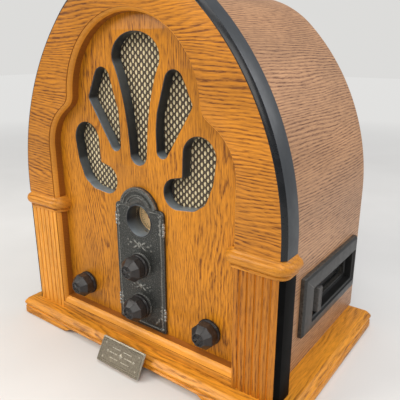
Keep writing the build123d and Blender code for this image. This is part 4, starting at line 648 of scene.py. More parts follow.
CARRIED_OVER = {
    oak_base: ("nameplate_wedge",),
    stained: ("speaker_baffle",),
    zinc: ("speaker_basket", "speaker_screws", "control_nuts", "deck_chassis", "deck_motor",
        "head_plate"),
    ferrite: ("speaker_magnet",),
    paper: ("speaker_cone",),
    pointer_red: ("dial_pointer",),
    ivory_plastic: ("dial_drum", "supply_spindle", "takeup_spindle"),
    vane: ("tuning_capacitor", "tuning_rotor"),
    grey_plastic: ("volume_control", "tone_control", "band_switch"),
    brass: ("tuning_bushing", "volume_shaft", "tone_shaft", "band_shaft", "tuning_shaft",
        "motor_pulley"),
    hardboard: ("rear_cover",),
    black_plastic: ("power_inlet",),
    board: ("main_board",),
    laminate: ("power_transformer",),
    steel: ("capstan_flywheel", "tape_head"),
    rubber: ("pinch_roller",),
}
for material, node_names in CARRIED_OVER.items():
    for node_name in node_names:
        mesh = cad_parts[node_name].data
        mesh.materials.clear()
        mesh.materials.append(material)

# ---------------------------------------------------------------- base

BASE = (low("base_upper"), high("base_upper"))
PAD = high("foot_pads").z
PAD_R = 9.0
BASE_STEPS = 96
APRON = (76.0, 85.0, 5.0)  # half-width of its flat, of its foot, and its rise
LOWER_EDGE = (  # inset and height of the lower board's beaded edge
    (0.9, 0.0), (0.4, 0.6), (0.4, 4.3), (0.55, 4.7), (1.3, 5.1), (1.3, 5.3), (0.55, 5.7), (0.45, 6.3),
    (0.8, 6.9), (1.7, 7.6), (2.9, 8.2), (3.4, 8.5),
)


def edge_inset(z):
    """The lower board's inset at a height."""
    for (i0, z0), (i1, z1) in zip(LOWER_EDGE, LOWER_EDGE[1:]):
        if z <= z1:
            return i0 + (i1 - i0) * (z - z0) / (z1 - z0)
    return LOWER_EDGE[-1][0]


def base_loop(inset, z, apron=False):
    """A rounded rectangle in plan; its front and back run are cut into equal steps."""
    x1, y0, y1 = BASE[1].x - inset, BASE[0].y + inset, BASE[1].y - inset
    r = max(5.0 - inset, 1.0)
    front = [(-x1 + r + (2 * x1 - 2 * r) * i / BASE_STEPS, y0) for i in range(BASE_STEPS + 1)]
    right = arc(x1 - r, y0 + r, r, -math.pi / 2, 0, 5)[1:] + arc(x1 - r, y1 - r, r, 0, math.pi / 2, 5)[:-1]
    back = [(-x, y1) for x, _ in front]
    left = [(-x, y0 + y1 - y) for x, y in right]
    points = []
    for x, y in front + right + back + left:
        level = max(z, PAD)
        if apron:
            flat, foot, rise = APRON
            t = min(max((foot - abs(x)) / (foot - flat + 4.0), 0.0), 1.0)
            carved = PAD + rise * t * t * (3 - 2 * t)
            if t > 0 and carved > z:
                # below the cut-out nothing is left, so the point slides up the edge profile
                level = carved
                y += (edge_inset(carved) - inset) * (1 if y < 0 else -1)
        points.append((x, y, level))
    return points


shape = Shape()
shape.loft([base_loop(i, z) for i, z in (
    (3.4, 8.5), (2.4, 8.9), (1.2, 9.6), (0.35, 10.2), (0.0, 10.9), (0.05, 11.5), (0.5, 12.2),
    (1.6, 13.2), (2.9, 14.4), (3.9, 15.3), (4.5, 15.8), (5.2, 16.0),
)])
shape.make("base_upper_board", oak_base, replaces="base_upper", slot="oak_base")

shape = Shape()
shape.loft([base_loop(i, z, True) for i, z in LOWER_EDGE], caps=False)
count = len(base_loop(0, 0))
# The underside is a strip from the front run to the back run, and a cap at each end.
run = BASE_STEPS + 1
side = count // 2 - run
back_end = 2 * run + side - 1
for i in range(BASE_STEPS):
    shape.add((i + 1, i, back_end - i, back_end - 1 - i))
shape.add(tuple(range(run + side, run - 2, -1)))
shape.add((0,) + tuple(range(count - 1, back_end - 1, -1)))
top = (len(LOWER_EDGE) - 1) * count
shape.add(tuple(range(top, top + count)))
shape.make("base_lower_board", oak_base, replaces="base_lower", slot="oak_base")

shape = Shape()
pad_lo, pad_hi = low("foot_pads"), high("foot_pads")
for px in (pad_lo.x + PAD_R, pad_hi.x - PAD_R):
    for py in (pad_lo.y + PAD_R, pad_hi.y - PAD_R):
        rings = ((PAD_R - 0.6, 0.0), (PAD_R - 0.1, 0.25), (PAD_R, 0.6), (PAD_R - 0.1, 1.0))
        shape.loft([[(x, y, z) for x, y in circle_line(px, py, r)] for r, z in rings])
shape.make("felt_pads", felt, replaces="foot_pads", slot="felt_pad")

# ---------------------------------------------------------------- front frame, trim, pilasters

STEP_DEPTH = 0.8
STRIP = (2.6, 3.8)  # width and depth of the soft bevel round the opening
SILL_FACE = 22.5
SILL_RISE = 5.5
SILL_LEDGE = SILL_FACE + SILL_RISE
BULGE = 0.1
# A slightly crowned bevel: how far along its depth and its width each point lies, 0 to 1.
SOFT_BOW = [BULGE * math.sin(math.pi * i / 7) for i in range(8)]
SOFT = [(i / 7 - bow, i / 7 + bow) for i, bow in enumerate(SOFT_BOW)]
COVE = [(-STRIP[0] * v, STEP_DEPTH + 0.1 + STRIP[1] * u) for u, v in SOFT]


def paint_opening_shade_and_highlight(obj):
    """A paler bevel as a painted highlight, and darker faces as painted shade: the step and the wall down to
    the panel.
    """
    obj.data.materials.append(oak_painted_shade)
    obj.data.materials.append(oak_bevel_painted_highlight)
    for polygon in obj.data.polygons:
        depth = polygon.center.y / MM - FRONT
        in_wall = STEP_DEPTH + STRIP[1] - 0.1 < depth < PANEL_DEPTH - 0.1
        if in_wall or 0.4 < depth < STEP_DEPTH and abs(polygon.normal.y) < 0.3:
            polygon.material_index = 1
        elif STEP_DEPTH < depth < STEP_DEPTH + STRIP[1]:
            polygon.material_index = 2


def horseshoe(grow, inset):
    return arch_line(inset, CAPITAL_HIGH) + list(reversed(opening_line(grow, CAPITAL_HIGH)))


shape = Shape()
levels = [(7.0, FRAME_DEPTH), (7.0, PANEL_DEPTH), (-STRIP[0], PANEL_DEPTH), (-STRIP[0], 7.0)]
levels += [(g, d) for g, d in reversed(COVE)]
levels += [(0.0, 0.3), (0.12, 0.1), (0.35, 0.0)]
shape.loft([laid(horseshoe(g, TRIM), d) for g, d in levels])
paint_opening_shade_and_highlight(shape.make("arch_frame", oak_arch, replaces="front_frame", slot="oak_front"))

TRIM_SECTION = (
    (TRIM, 0.0), (3.05, 0.0), (2.85, 0.08), (0.12, 2.8), (0.0, 3.05), (0.0, 18.3), (0.25, 18.5), (TRIM, 18.5),
)
shape = Shape()
shape.sweep(lambda inset: arch_line(inset, CAPITAL_HIGH), TRIM_SECTION)
# The straight legs below the capitals take mark 1, the darker trim: painted shade.
for side in (-1, 1):
    shape.sweep(lambda inset: [(side * (HALF - inset), z) for z in (BASE_TOP, CAPITAL_LOW)], TRIM_SECTION, 1)
band = shape.make("edge_band", [black_trim, trim_leg_painted_shade, trim_side_painted_sheen], replaces="edge_trim", slot="black_trim")
# Side faces above the capitals take the lighter grey trim: a painted sheen.
for polygon in band.data.polygons:
    if polygon.center.z > CAPITAL_HIGH * MM and abs(polygon.normal.y) < 0.3:
        polygon.material_index = 2

FLUTES = [OPEN_HALF + 4.7 + 6.1 * i for i in range(5)]
INNER = OPEN_HALF - STRIP[0]
CAPITAL_CORE = low("capital_right").x + 4.5


def pilaster_section():
    """(x, depth) round a pilaster: cove edge, then reeds with slightly crowned faces."""
    points = [(OPEN_HALF + 7, FRAME_DEPTH), (OPEN_HALF + 7, PANEL_DEPTH), (INNER, PANEL_DEPTH)]
    points += [(OPEN_HALF + g, d) for g, d in reversed(COVE)]
    points += [(OPEN_HALF, 0.35), (OPEN_HALF + 0.12, 0.12)]
    points += [(OPEN_HALF + 0.5, 0.0), (OPEN_HALF + 2.4, 0.0)]
    edges = FLUTES + [HALF - TRIM + 0.8]
    for left, right in zip(edges, edges[1:]):
        points += [(left - 0.8, 0.2), (left - 0.45, 0.75), (left - 0.12, 1.5)]
        points += [(left + 0.12, 1.5), (left + 0.45, 0.75), (left + 0.8, 0.25)]
        for part in (0.25, 0.5, 0.75):
            points.append((left + (right - left) * part, 0.02 if part == 0.5 else 0.08))
    points += [(HALF - TRIM, 0.3), (HALF - TRIM, FRAME_DEPTH)]
    return points


for side, word in ((-1, "left"), (1, "right")):
    section = pilaster_section()
    shape = Shape()
    # The cove strip is mitred against the sill, so its lower end climbs towards the panel.
    climb = SILL_RISE / STRIP[0]
    foot = [BASE_TOP if x > OPEN_HALF - 0.01 else SILL_FACE + climb * (OPEN_HALF - x) for x, d in section]
    bottom = [(side * x, at(d), z) for (x, d), z in zip(section, foot)]
    upper = [(side * x, at(d), CAPITAL_LOW + 0.5) for x, d in section]
    shape.loft([bottom, upper])
    wood_of_side = oak_pale if side < 0 else oak_upright
    name = "pilaster_" + word
    paint_opening_shade_and_highlight(shape.make(name + "_reeded", wood_of_side, replaces=name, slot="oak_front"))

CAPITAL_PROFILE = (  # how far proud, and height above the capital's foot
    (0.9, 0.0), (1.3, 0.25), (1.4, 1.6), (1.2, 2.3), (0.7, 2.7), (0.7, 3.0), (2.2, 3.4), (3.3, 4.2),
    (4.1, 5.3), (4.5, 6.7), (4.5, 8.0), (4.1, 9.4), (3.3, 10.6), (2.2, 11.4), (1.4, 11.8), (1.1, 12.3),
    (0.2, 13.2), (-0.6, 14.0),
)


def capital_loop(proud, z, side):
    """The plan of a capital: two rounded front corners, and square ends at the panel and the cabinet."""
    inner, outer = CAPITAL_CORE - proud, HALF + proud
    y = at(-proud)
    r = 7.0 + proud
    points = [(OPEN_HALF + 7, at(FRAME_DEPTH)), (OPEN_HALF + 7, at(PANEL_DEPTH)), (inner, at(PANEL_DEPTH))]
    points += arc(inner + r, y + r, r, math.pi, 1.5 * math.pi, 8)
    points += arc(outer - r, y + r, r, 1.5 * math.pi, 2 * math.pi, 8)
    points.append((outer, at(FRAME_DEPTH)))
    return [(side * x, py, z) for x, py in points]


for side, word in ((-1, "left"), (1, "right")):
    shape = Shape()
    shape.loft([capital_loop(p, CAPITAL_LOW + z, side) for p, z in CAPITAL_PROFILE])
    name = "capital_" + word
    shape.make(name + "_moulding", oak_rail, replaces=name, slot="oak_front")

shape = Shape()
sill = [(0.0, BASE_TOP), (0.0, SILL_FACE - 0.4), (0.15, SILL_FACE - 0.12), (0.4, SILL_FACE)]
sill += [(STEP_DEPTH + 0.1 + STRIP[1] * u, SILL_FACE + SILL_RISE * v) for u, v in SOFT]
sill += [(PANEL_DEPTH, SILL_LEDGE), (PANEL_DEPTH, BASE_TOP)]
ends = []
for side in (-1, 1):
    reach = [OPEN_HALF - max(z - SILL_FACE, 0.0) * STRIP[0] / SILL_RISE for d, z in sill]
    ends.append([(side * r, at(d), z) for r, (d, z) in zip(reach, sill)])
shape.loft(ends)
paint_opening_shade_and_highlight(shape.make("sill_moulding", oak_rail, replaces="sill_rail", slot="oak_front"))

# ---------------------------------------------------------------- panel, grille

PETAL = ((36.8, 236.3, 9.6), (49.2, 221.0, 5.0), (25.0, 212.0, 5.6), (24.0, 200.5, 5.8), (24.8, 185.2, 6.5))
BEAN = ((59.2, 185.2, 15.6), (60.5, 170.0, 12.2), (55.2, 158.3, 12.7))
TEAR = (25.0, 18.6, 253.4)  # half-width, rise and centre height of the crown
LOBE = ((37.4, 153.7, 13.0), (50.0, 156.0, 13.8))


def inside(point, line):
    x, z = point
    hit = False
    for (ax, az), (bx, bz) in zip(line, line[1:] + line[:1]):
        if (az > z) != (bz > z) and x < ax + (bx - ax) * (z - az) / (bz - az):
            hit = not hit
    return hit


def joined(first, second):
    """The outline of two overlapping convex lines that cross twice."""
    out = []
    for line, other in ((first, second), (second, first)):
        flags = [inside(p, other) for p in line]
        start = next(i for i in range(len(line)) if not flags[i] and flags[i - 1])
        ordered = line[start:] + line[:start]
        marks = flags[start:] + flags[:start]
        run_length = next(i for i, flag in enumerate(marks + [True]) if flag)
        previous = ordered[-1]
        piece = ordered[:run_length]
        piece.insert(0, crossing(previous, ordered[0], other))
        out += piece
    return out


def crossing(a, b, line):
    """Where the step from a to b crosses a closed line."""
    for c, d in zip(line, line[1:] + line[:1]):
        rx, rz, sx, sz = b[0] - a[0], b[1] - a[1], d[0] - c[0], d[1] - c[1]
        det = rx * sz - rz * sx
        if abs(det) < 1e-12:
            continue
        t = ((c[0] - a[0]) * sz - (c[1] - a[1]) * sx) / det
        u = ((c[0] - a[0]) * rz - (c[1] - a[1]) * rx) / det
        if -1e-9 <= t <= 1 + 1e-9 and -1e-9 <= u <= 1 + 1e-9:
            return (a[0] + rx * t, a[1] + rz * t)
    return a


def teardrop_line():
    """A broad domed crown, hollow sides and a round foot."""
    right = arc(0, 179.8, 9.6, -math.pi / 2, 0, 12)
    dome = [(TEAR[0] * x, TEAR[2] + TEAR[1] * z) for x, z in arc(0, 0, 1, math.radians(-24), math.pi / 2, 34)]
    a, m, b = Vector((9.6, 179.8)), Vector((13.9, 216.5)), Vector(dome[0])
    for i in range(1, 24):
        t = i / 24
        right.append(tuple(a * (1 - t) * (1 - 2 * t) + m * 4 * t * (1 - t) + b * t * (2 * t - 1)))
    right += dome
    return right + flip(right[1:-1])


def flip(line):
    return [(-x, z) for x, z in reversed(line)]


petal = hull_line(*PETAL)
bean = joined(hull_line(*BEAN), hull_line(*LOBE))
speaker_lines = [petal, flip(petal), bean, flip(bean), teardrop_line()]
bores = [circle_line(x, z, 4.6, 24) for x, z in ((-70, 48), (70, 48), (0, 48), (0, 85.5))]
bores.append(circle_line(0, DIAL_Z, 15.0, 48))
panel_outline = opening_line(5.4, BASE_TOP + 1.6)
mesh = plate_mesh("front_panel_board", [panel_outline] + speaker_lines + bores, PANEL_DEPTH, PANEL_BACK, 1.3)
panel = place("front_panel_board", mesh, [oak_panel, black_wall], replaces="front_panel", slot="oak_panel")
# The front stays oak; all other faces take the black wall paint, lighter where they face up by painted top
# light.
for polygon in panel.data.polygons:
    polygon.material_index = 0 if polygon.normal.y < -0.95 else 1

# The cloth: a dark ground with rows of plump cream stitches, staggered like bricks.
STITCH_X = 2.86
STITCH_Z = 5.8
shape = Shape()
shape.slab(opening_line(-4.5, 134.4), (PANEL_BACK + 0.6, PANEL_BACK + 0.45))
rng = random.Random(7)
cloth_line = opening_line(-7.0, 136.0)
columns = int(90 / STITCH_X)


def on_cloth(x, z):
    """Inside the cloth's outline, and clear of the dial behind the panel."""
    return inside((x, z), cloth_line) and not (abs(x) < 28 and z < 158)


for column in range(-columns, columns + 1):
    for row in range(0, 28):
        x = column * STITCH_X
        z = 134.0 + (row + 0.5 * (column % 2)) * STITCH_Z
        if not on_cloth(x, z):
            continue
        x += rng.uniform(-0.08, 0.08)
        z += rng.uniform(-0.12, 0.12)
        half_w = 0.98 + rng.uniform(-0.06, 0.06)
        half_h = 1.80 + rng.uniform(-0.12, 0.12)
        loops = []
        for size, rise in ((1.0, 0.5), (0.92, 0.22), (0.62, -0.05), (0.12, -0.15)):
            oval = [(x + half_w * size * u, z + half_h * size * v) for u, v in circle_line(0, 0, 1, 10)]
            loops.append(laid(oval, PANEL_BACK + rise))
        shape.loft(loops, mark=1)
# Slack threads cross between the stitches, both ways.
for lean in (-1, 1):
    slope = Vector((STITCH_X, lean * STITCH_Z / 2)).normalized()
    across = Vector((-slope.y, slope.x))
    gap = STITCH_X * STITCH_Z / Vector((STITCH_X, STITCH_Z / 2)).length
    for n in range(-80, 81):
        origin = Vector((0.0, 200.0 + STITCH_Z / 2)) + across * (n + 0.5) * gap
        run_points = []
        for step in range(-90, 91):
            p = origin + slope * step * 2.0
            if inside(p, cloth_line) and not (abs(p.x) < 27 and p.y < 159):
                run_points.append(p)
            else:
                if len(run_points) > 1:
                    ribbon = []
                    for q in run_points:
                        wave = 0.1 * math.sin(q.x * 1.1 + lean)
                        ribbon.append([
                            (q.x + across.x * w, at(PANEL_BACK + rise - wave), q.y + across.y * w)
                            for w, rise in ((-0.24, 0.5), (-0.15, 0.3), (0.15, 0.3), (0.24, 0.5))
                        ])
                    shape.loft(ribbon, mark=2)
                run_points = []
threads = [thread_dark, thread_cream, thread_brown]
shape.make("grille_weave", threads, replaces="grille_cloth", slot="grille_weave")

# ---------------------------------------------------------------- escutcheon

PLATE_FACE = low("escutcheon_pins").y - FRONT + 0.9
PLATE_LOW = low("escutcheon").z
PLATE_HIGH = 137.5
PLATE_HALF = high("escutcheon").x
ARCH_Z = 133.0
ARCH_R = 20.5
SHAFTS_Z = (48.0, 85.5)


def plate_line(grow):
    half = PLATE_HALF + grow
    r = ARCH_R + grow
    top = PLATE_HIGH + grow
    start = math.asin((top - ARCH_Z) / r)
    right = arc(half - 1.6, PLATE_LOW - grow + 1.6, 1.6, -math.pi / 2, 0, 4)
    right += arc(half - 4.0, top - 4.0, 4.0, 0, math.pi / 2, 8)
    right += arc(0, ARCH_Z, r, start, math.pi / 2, 24)
    return mirrored(right)


def lump(x, z, cx, cz, rx, rz, height, turn=0.0):
    c, s = math.cos(turn), math.sin(turn)
    dx, dz = x - cx, z - cz
    u, v = (dx * c + dz * s) / rx, (-dx * s + dz * c) / rz
    return height * math.exp(-(u * u + v * v) * 1.6)


SPRAY = (  # a leaf spray: place, half-sizes, height and turn of each lump, mirrored about its middle
    (0.0, 0.0, 2.0, 3.4, 0.75, 0.0), (4.6, 2.2, 3.4, 1.1, 0.65, 0.6), (4.8, -2.4, 3.4, 1.1, 0.65, -0.6),
    (9.6, 0.4, 2.2, 1.3, 0.55, 0.2), (12.8, 2.6, 1.2, 1.2, 0.5, 0.0), (12.6, -2.4, 1.2, 1.2, 0.5, 0.0),
)


def relief(x, z):
    """Height of the embossing on the plate's face: a border, leaf sprays and little scrolls."""
    ax = abs(x)
    value = 0.0
    border = PLATE_HALF - 3.2
    value += 0.45 * math.exp(-(((ax - border) / 0.55) ** 2)) * (1 if 31 < z < 134 else 0)
    value += 0.45 * math.exp(-(((z - PLATE_LOW - 3.2) / 0.55) ** 2)) * (1 if ax < border else 0)
    for cz, size in ((104.0, 1.0), (66.5, 0.8)):
        for px, pz, rx, rz, height, turn in SPRAY:
            value += lump(ax, z, px * size, cz + pz * size, rx * size, rz * size, height, turn)
    for cz in (124.0, 48.0):
        for i in range(4):
            value += lump(ax, z, PLATE_HALF - 4.2 + 0.9 * (i % 2), cz - 5.4 + 3.6 * i, 1.5, 1.5, 0.6)
    value += lump(ax, z, 17.0, 36.5, 3.0, 1.2, 0.5, 0.8) + lump(ax, z, 19.5, 40.0, 1.2, 2.6, 0.5)
    grain = math.sin(2.1 * x + 1.3 * z) * math.sin(1.7 * z - 0.9 * x) + math.sin(3.7 * x - 2.2 * z) * 0.6
    return value + 0.05 * grain


shape = Shape()
shape.stack(plate_line, (
    (-0.15, PANEL_DEPTH), (0.0, PANEL_DEPTH - 0.3), (0.0, PANEL_DEPTH - 0.5), (0.0, PLATE_FACE + 0.9),
    (0.0, PLATE_FACE + 0.6), (-0.2, PLATE_FACE + 0.2), (-0.6, PLATE_FACE), (-1.0, PLATE_FACE),
))
plate_body = shape.make("plate_body", pewter)
window = Shape()
window.lathe(0, PANEL_DEPTH, DIAL_Z, ((13.4, -1.0), (13.4, 5.0)))
bores = Shape()
for z in SHAFTS_Z:
    bores.lathe(0, PANEL_DEPTH, z, ((7.5, -1.0), (7.5, 5.0)))
cut(plate_body, window.make("window_cutter", pewter), bores.make("bore_cutter", pewter))

shape = Shape()
# the deep round well that the dial is seen through
WELL_BACK = low("dial_plate").y - FRONT - 0.3
WELL = (
    (13.0, WELL_BACK), (13.0, PLATE_FACE - 0.05), (13.15, PLATE_FACE - 0.35), (13.5, PLATE_FACE - 0.45),
    (13.9, PLATE_FACE - 0.3), (14.1, PLATE_FACE + 0.2), (14.1, PANEL_DEPTH - 0.2), (14.6, PANEL_DEPTH),
    (14.6, WELL_BACK),
)
shape.loft([laid(circle_line(0, DIAL_Z, r, 72), d) for r, d in WELL], ring=True, mark=2)
# stepped hoods over the well
for inner_r, outer_r, height, centre_z, start in (
    (18.5, 20.4, 1.35, ARCH_Z, 0.3), (16.9, 18.6, 0.85, ARCH_Z, 0.27),
    (13.0, 14.4, 1.0, ARCH_Z, 0.42), (11.4, 12.4, 0.65, ARCH_Z, 0.48),
):
    section = (
        (inner_r, -0.1), (inner_r + 0.1, height - 0.15), (inner_r + 0.3, height),
        (outer_r - 0.35, height), (outer_r - 0.1, height - 0.2), (outer_r, -0.1),
    )
    loops = []
    for i in range(41):
        a = start + (math.pi - 2 * start) * i / 40
        loops.append([(r * math.cos(a), at(PLATE_FACE - h), centre_z + r * math.sin(a)) for r, h in section])
    shape.loft(loops)
# scrolls that break the straight edges
for side in (-1, 1):
    for centre in (122.5, 46.5):
        for dz, size in ((-4.6, 1.5), (-1.6, 2.0), (1.9, 2.0), (4.8, 1.4)):
            rings = []
            for t in range(6):
                a = math.pi / 2 * t / 5
                r = size * math.cos(a)
                oval = circle_line(0, centre + dz, max(r, 0.05), 14)
                oval = [(side * (PLATE_HALF - 0.6) + p * 0.75, q) for p, q in oval]
                rings.append(laid(oval, PLATE_FACE + 0.9 - 1.7 * math.sin(a)))
            shape.loft(rings, mark=1)
# bosses round the two shafts
for z in SHAFTS_Z:
    boss = ((7.6, -0.2), (7.6, 1.0), (7.9, 1.2), (10.6, 1.2), (11.3, 0.8), (11.6, 0.2), (11.6, -0.2))
    shape.loft([laid(circle_line(0, z, r, 56), PLATE_FACE - h) for r, h in boss], ring=True)
shape.make("escutcheon_mouldings", [pewter, worn_pewter, black_wall], replaces="escutcheon", slot="pewter")

# the embossed skin, sunk at its own edges so that they don't show
STEP = 0.55
cells_x = int((2 * PLATE_HALF - 3) / STEP)
cells_z = int((PLATE_HIGH - PLATE_LOW - 3) / STEP)
shape = Shape()
index = {}
for i in range(cells_x + 1):
    for k in range(cells_z + 1):
        x = -PLATE_HALF + 1.5 + i * STEP
        z = PLATE_LOW + 1.5 + k * STEP
        near_edge = min(PLATE_HALF - 1.5 - abs(x), z - PLATE_LOW - 1.5, PLATE_HIGH - 1.5 - z)
        gaps = [math.hypot(x, z - DIAL_Z) - 13.9] + [math.hypot(x, z - cz) - 10.8 for cz in SHAFTS_Z]
        if min(gaps) < -0.4:
            continue
        fade = min(max(min(near_edge, min(gaps) + 0.4) / 1.2, 0.0), 1.0)
        index[i, k] = len(shape.verts)
        shape.verts.append((x, at(PLATE_FACE + 0.05 - fade * (0.12 + relief(x, z))), z))
for i, k in list(index):
    corners = [(i, k), (i + 1, k), (i + 1, k + 1), (i, k + 1)]
    if all(c in index for c in corners):
        shape.add(tuple(index[c] for c in corners))
skin = shape.make("escutcheon_relief", pewter, slot="pewter")
raised = skin.data.attributes.new("raised", "FLOAT", "POINT")
for vertex, item in zip(skin.data.vertices, raised.data):
    item.value = min(max(relief(vertex.co.x / MM, vertex.co.z / MM) / 0.5, 0.0), 1.0)
thick = skin.modifiers.new("thick", "SOLIDIFY")
thick.thickness = 0.5 * MM
thick.offset = -1.0
plate_body.name = "escutcheon_plate"

shape = Shape()
for x, z in ((-23.2, 32.0), (23.2, 32.0), (-23.2, 133.6), (23.2, 133.6)):
    pin = ((0.9, -7.0), (0.9, -0.2), (1.9, -0.2), (1.95, 0.25), (1.7, 0.7), (1.1, 0.95), (0.4, 1.02))
    shape.lathe(x, PLATE_FACE, z, pin, 20)
shape.make("escutcheon_pin_heads", pewter, replaces="escutcheon_pins", slot="pewter")

# ---------------------------------------------------------------- dial

# a thin watch glass inside the well
lens_face = low("dial_lens").y - FRONT
shape = Shape()
glass = ((12.95, -1.2), (12.95, -0.2), (12.6, 0.0), (9.0, 0.35), (4.5, 0.55), (0.5, 0.62))
shape.lathe(0, lens_face, DIAL_Z, glass, 56)
shape.make("dial_glass", lens, replaces="dial_lens", slot="clear_lens")

dial_lo, dial_hi = low("dial_plate"), high("dial_plate")
dial_line = round_rect(dial_lo.x, dial_lo.z, dial_hi.x, dial_hi.z, 4.0)
DIAL_FACE = dial_lo.y - FRONT
dial_hole = circle_line(0, DIAL_Z, 2.4, 24)
mesh = plate_mesh("dial_scale", [dial_line, dial_hole], DIAL_FACE, dial_hi.y - FRONT, 0.1)
place("dial_scale", mesh, dial_card, replaces="dial_plate", slot="dial_card")
shape = Shape()
INK = (DIAL_FACE + 0.05, DIAL_FACE - 0.08)
for i in range(36):
    a = math.radians(i * 10 - 90)
    major = i % 3 == 0
    r0, r1, w = 8.6 if major else 9.6, 11.0, 0.16 if major else 0.1
    ux, uz = math.cos(a), math.sin(a)
    corners = [(r0, -w), (r1, -w), (r1, w), (r0, w)]
    quad = [(ux * r - uz * s, DIAL_Z + uz * r + ux * s) for r, s in corners]
    shape.slab(quad, INK)
for r0, r1 in ((11.2, 11.5), (12.2, 12.3)):
    section = ((r0, INK[0]), (r0, INK[1]), (r1, INK[1]), (r1, INK[0]))
    shape.loft([laid(circle_line(0, DIAL_Z, r, 72), d) for r, d in section], ring=True)
shape.make("dial_marks", dial_ink, slot="dial_card")
NUMBER_R = 6.6
for i, word in enumerate(("55", "70", "90", "110", "140", "160")):
    text = bpy.data.curves.new("dial_number", "FONT")
    text.body = word
    text.size = 2.6 * MM
    text.align_x = "CENTER"
    text.align_y = "CENTER"
    text.extrude = 0.05 * MM
    holder = linked("dial_number", text)
    mesh = baked(holder)
    bpy.data.objects.remove(holder)
    a = math.radians(165 - 30 * i)
    mesh.transform(facing_front(NUMBER_R * math.cos(a), DIAL_FACE, DIAL_Z + NUMBER_R * math.sin(a)))
    place("dial_number_" + word, mesh, dial_ink, slot="dial_card")

# ---------------------------------------------------------------- knobs


def octagon(x, depth, z, r, soft):
    """Eight flats with narrow chamfered corners; r reaches the corners."""
    points = []
    for i in range(8):
        a = math.pi / 8 + i * math.pi / 4
        for b in (a - soft, a + soft):
            points.append((x + r * math.cos(b), at(depth), z + r * math.sin(b)))
    return points


KNURLS = 64


def knob(name, body):
    lo, hi = low(name), high(name)
    x, z = (lo.x + hi.x) / 2, (lo.z + hi.z) / 2
    seat = hi.y - FRONT
    shape = Shape()
    # the skirt: a pocket underneath, a knurled rim and a plain collar
    skirt = (
        (7.2, 2.6, 0), (7.2, 0.0, 0), (10.3, 0.0, 0), (10.7, 0.25, 0), (10.8, 0.35, 0.32),
        (10.8, 1.6, 0.32),
        (10.6, 1.8, 0), (10.3, 2.2, 0), (9.9, 2.4, 0), (9.7, 2.7, 0), (9.6, 4.6, 0), (7.0, 4.9, 0),
    )
    loops = []
    for r, height, knurl in skirt:
        ring = []
        for i in range(2 * KNURLS):
            a = math.pi * i / KNURLS
            reach = r - knurl * (i % 2)
            ring.append((x + reach * math.cos(a), at(seat - height), z + reach * math.sin(a)))
        loops.append(ring)
    shape.loft(loops)
    levels = ((9.9, 4.2), (10.5, 4.5), (10.55, 9.9), (10.35, 10.3), (6.35, 14.8), (5.9, 15.2), (5.2, 15.35))
    loops = [octagon(x, seat - h, z, r, 0.035) for r, h in levels]
    # an eight-pointed star is cut into the front
    for r, ridge, valley in ((4.7, 15.2, 14.6), (3.0, 15.3, 14.5), (1.5, 15.4, 15.0), (1.0, 15.45, 15.45)):
        ring = []
        for i in range(16):
            a = math.pi / 8 * (i + 1)
            ring.append((x + r * math.cos(a), at(seat - (valley if i % 2 else ridge)), z + r * math.sin(a)))
        loops.append(ring)
    shape.loft(loops)
    shape.make(name + "_moulded", knob_brown, body=body, replaces=name, slot="knob_brown", crease=14)


for word in ("volume", "tone", "band", "tuning"):
    knob("knob_" + word, word + "_knob")

# ---------------------------------------------------------------- cabinet shell

shell_section = (
    (BODY_INSET, FRAME_DEPTH), (BODY_INSET, BODY_BACK - 0.6), (BODY_INSET + 0.6, BODY_BACK),
    (BODY_INSET + 3.7, BODY_BACK), (BODY_INSET + 4, BODY_BACK - 0.3), (BODY_INSET + 4, BODY_BACK - 6),
    (BODY_INSET + WALL, BODY_BACK - 6), (BODY_INSET + WALL, FRAME_DEPTH),
)
shape = Shape()
shape.sweep(lambda inset: arch_line(inset, BASE_TOP), shell_section)
shell = shape.make("cabinet_body", veneer, replaces="cabinet_shell", slot="oak_veneer")
cut(shell, box_cutter(HALF - BODY_INSET - WALL - 2, HALF - BODY_INSET + 2, 64.2, 159.8, 49.2, 83.8))
# Grain coordinates: front to back, then the girth measured round the arch.
line = arch_line(BODY_INSET, BASE_TOP)
girth = [0.0]
for a, b in zip(line, line[1:]):
    girth.append(girth[-1] + math.dist(a, b))
grain = shell.data.attributes.new("grain", "FLOAT_VECTOR", "POINT")
for vertex, item in zip(shell.data.vertices, grain.data):
    spot = (vertex.co.x / MM, vertex.co.z / MM)

    def detour(i):
        a, b = line[i], line[i + 1]
        return math.dist(a, spot) + math.dist(b, spot) - math.dist(a, b)

    best = min(range(len(line) - 1), key=detour)
    a, b = Vector(line[best]), Vector(line[best + 1])
    t = min(max((Vector(spot) - a).dot(b - a) / (b - a).length_squared, 0.0), 1.0)
    item.vector = (vertex.co.y, (girth[best] + t * (b - a).length) * MM, 0.0)

# ---------------------------------------------------------------- cassette front

SIDE_X = HALF - BODY_INSET
bezel_lo, bezel_hi = low("cassette_bezel"), high("cassette_bezel")


def side_rect(d0, d1, z0, z1, x, r):
    return [(x, at(d), z) for d, z in round_rect(d0, z0, d1, z1, r, 4)]


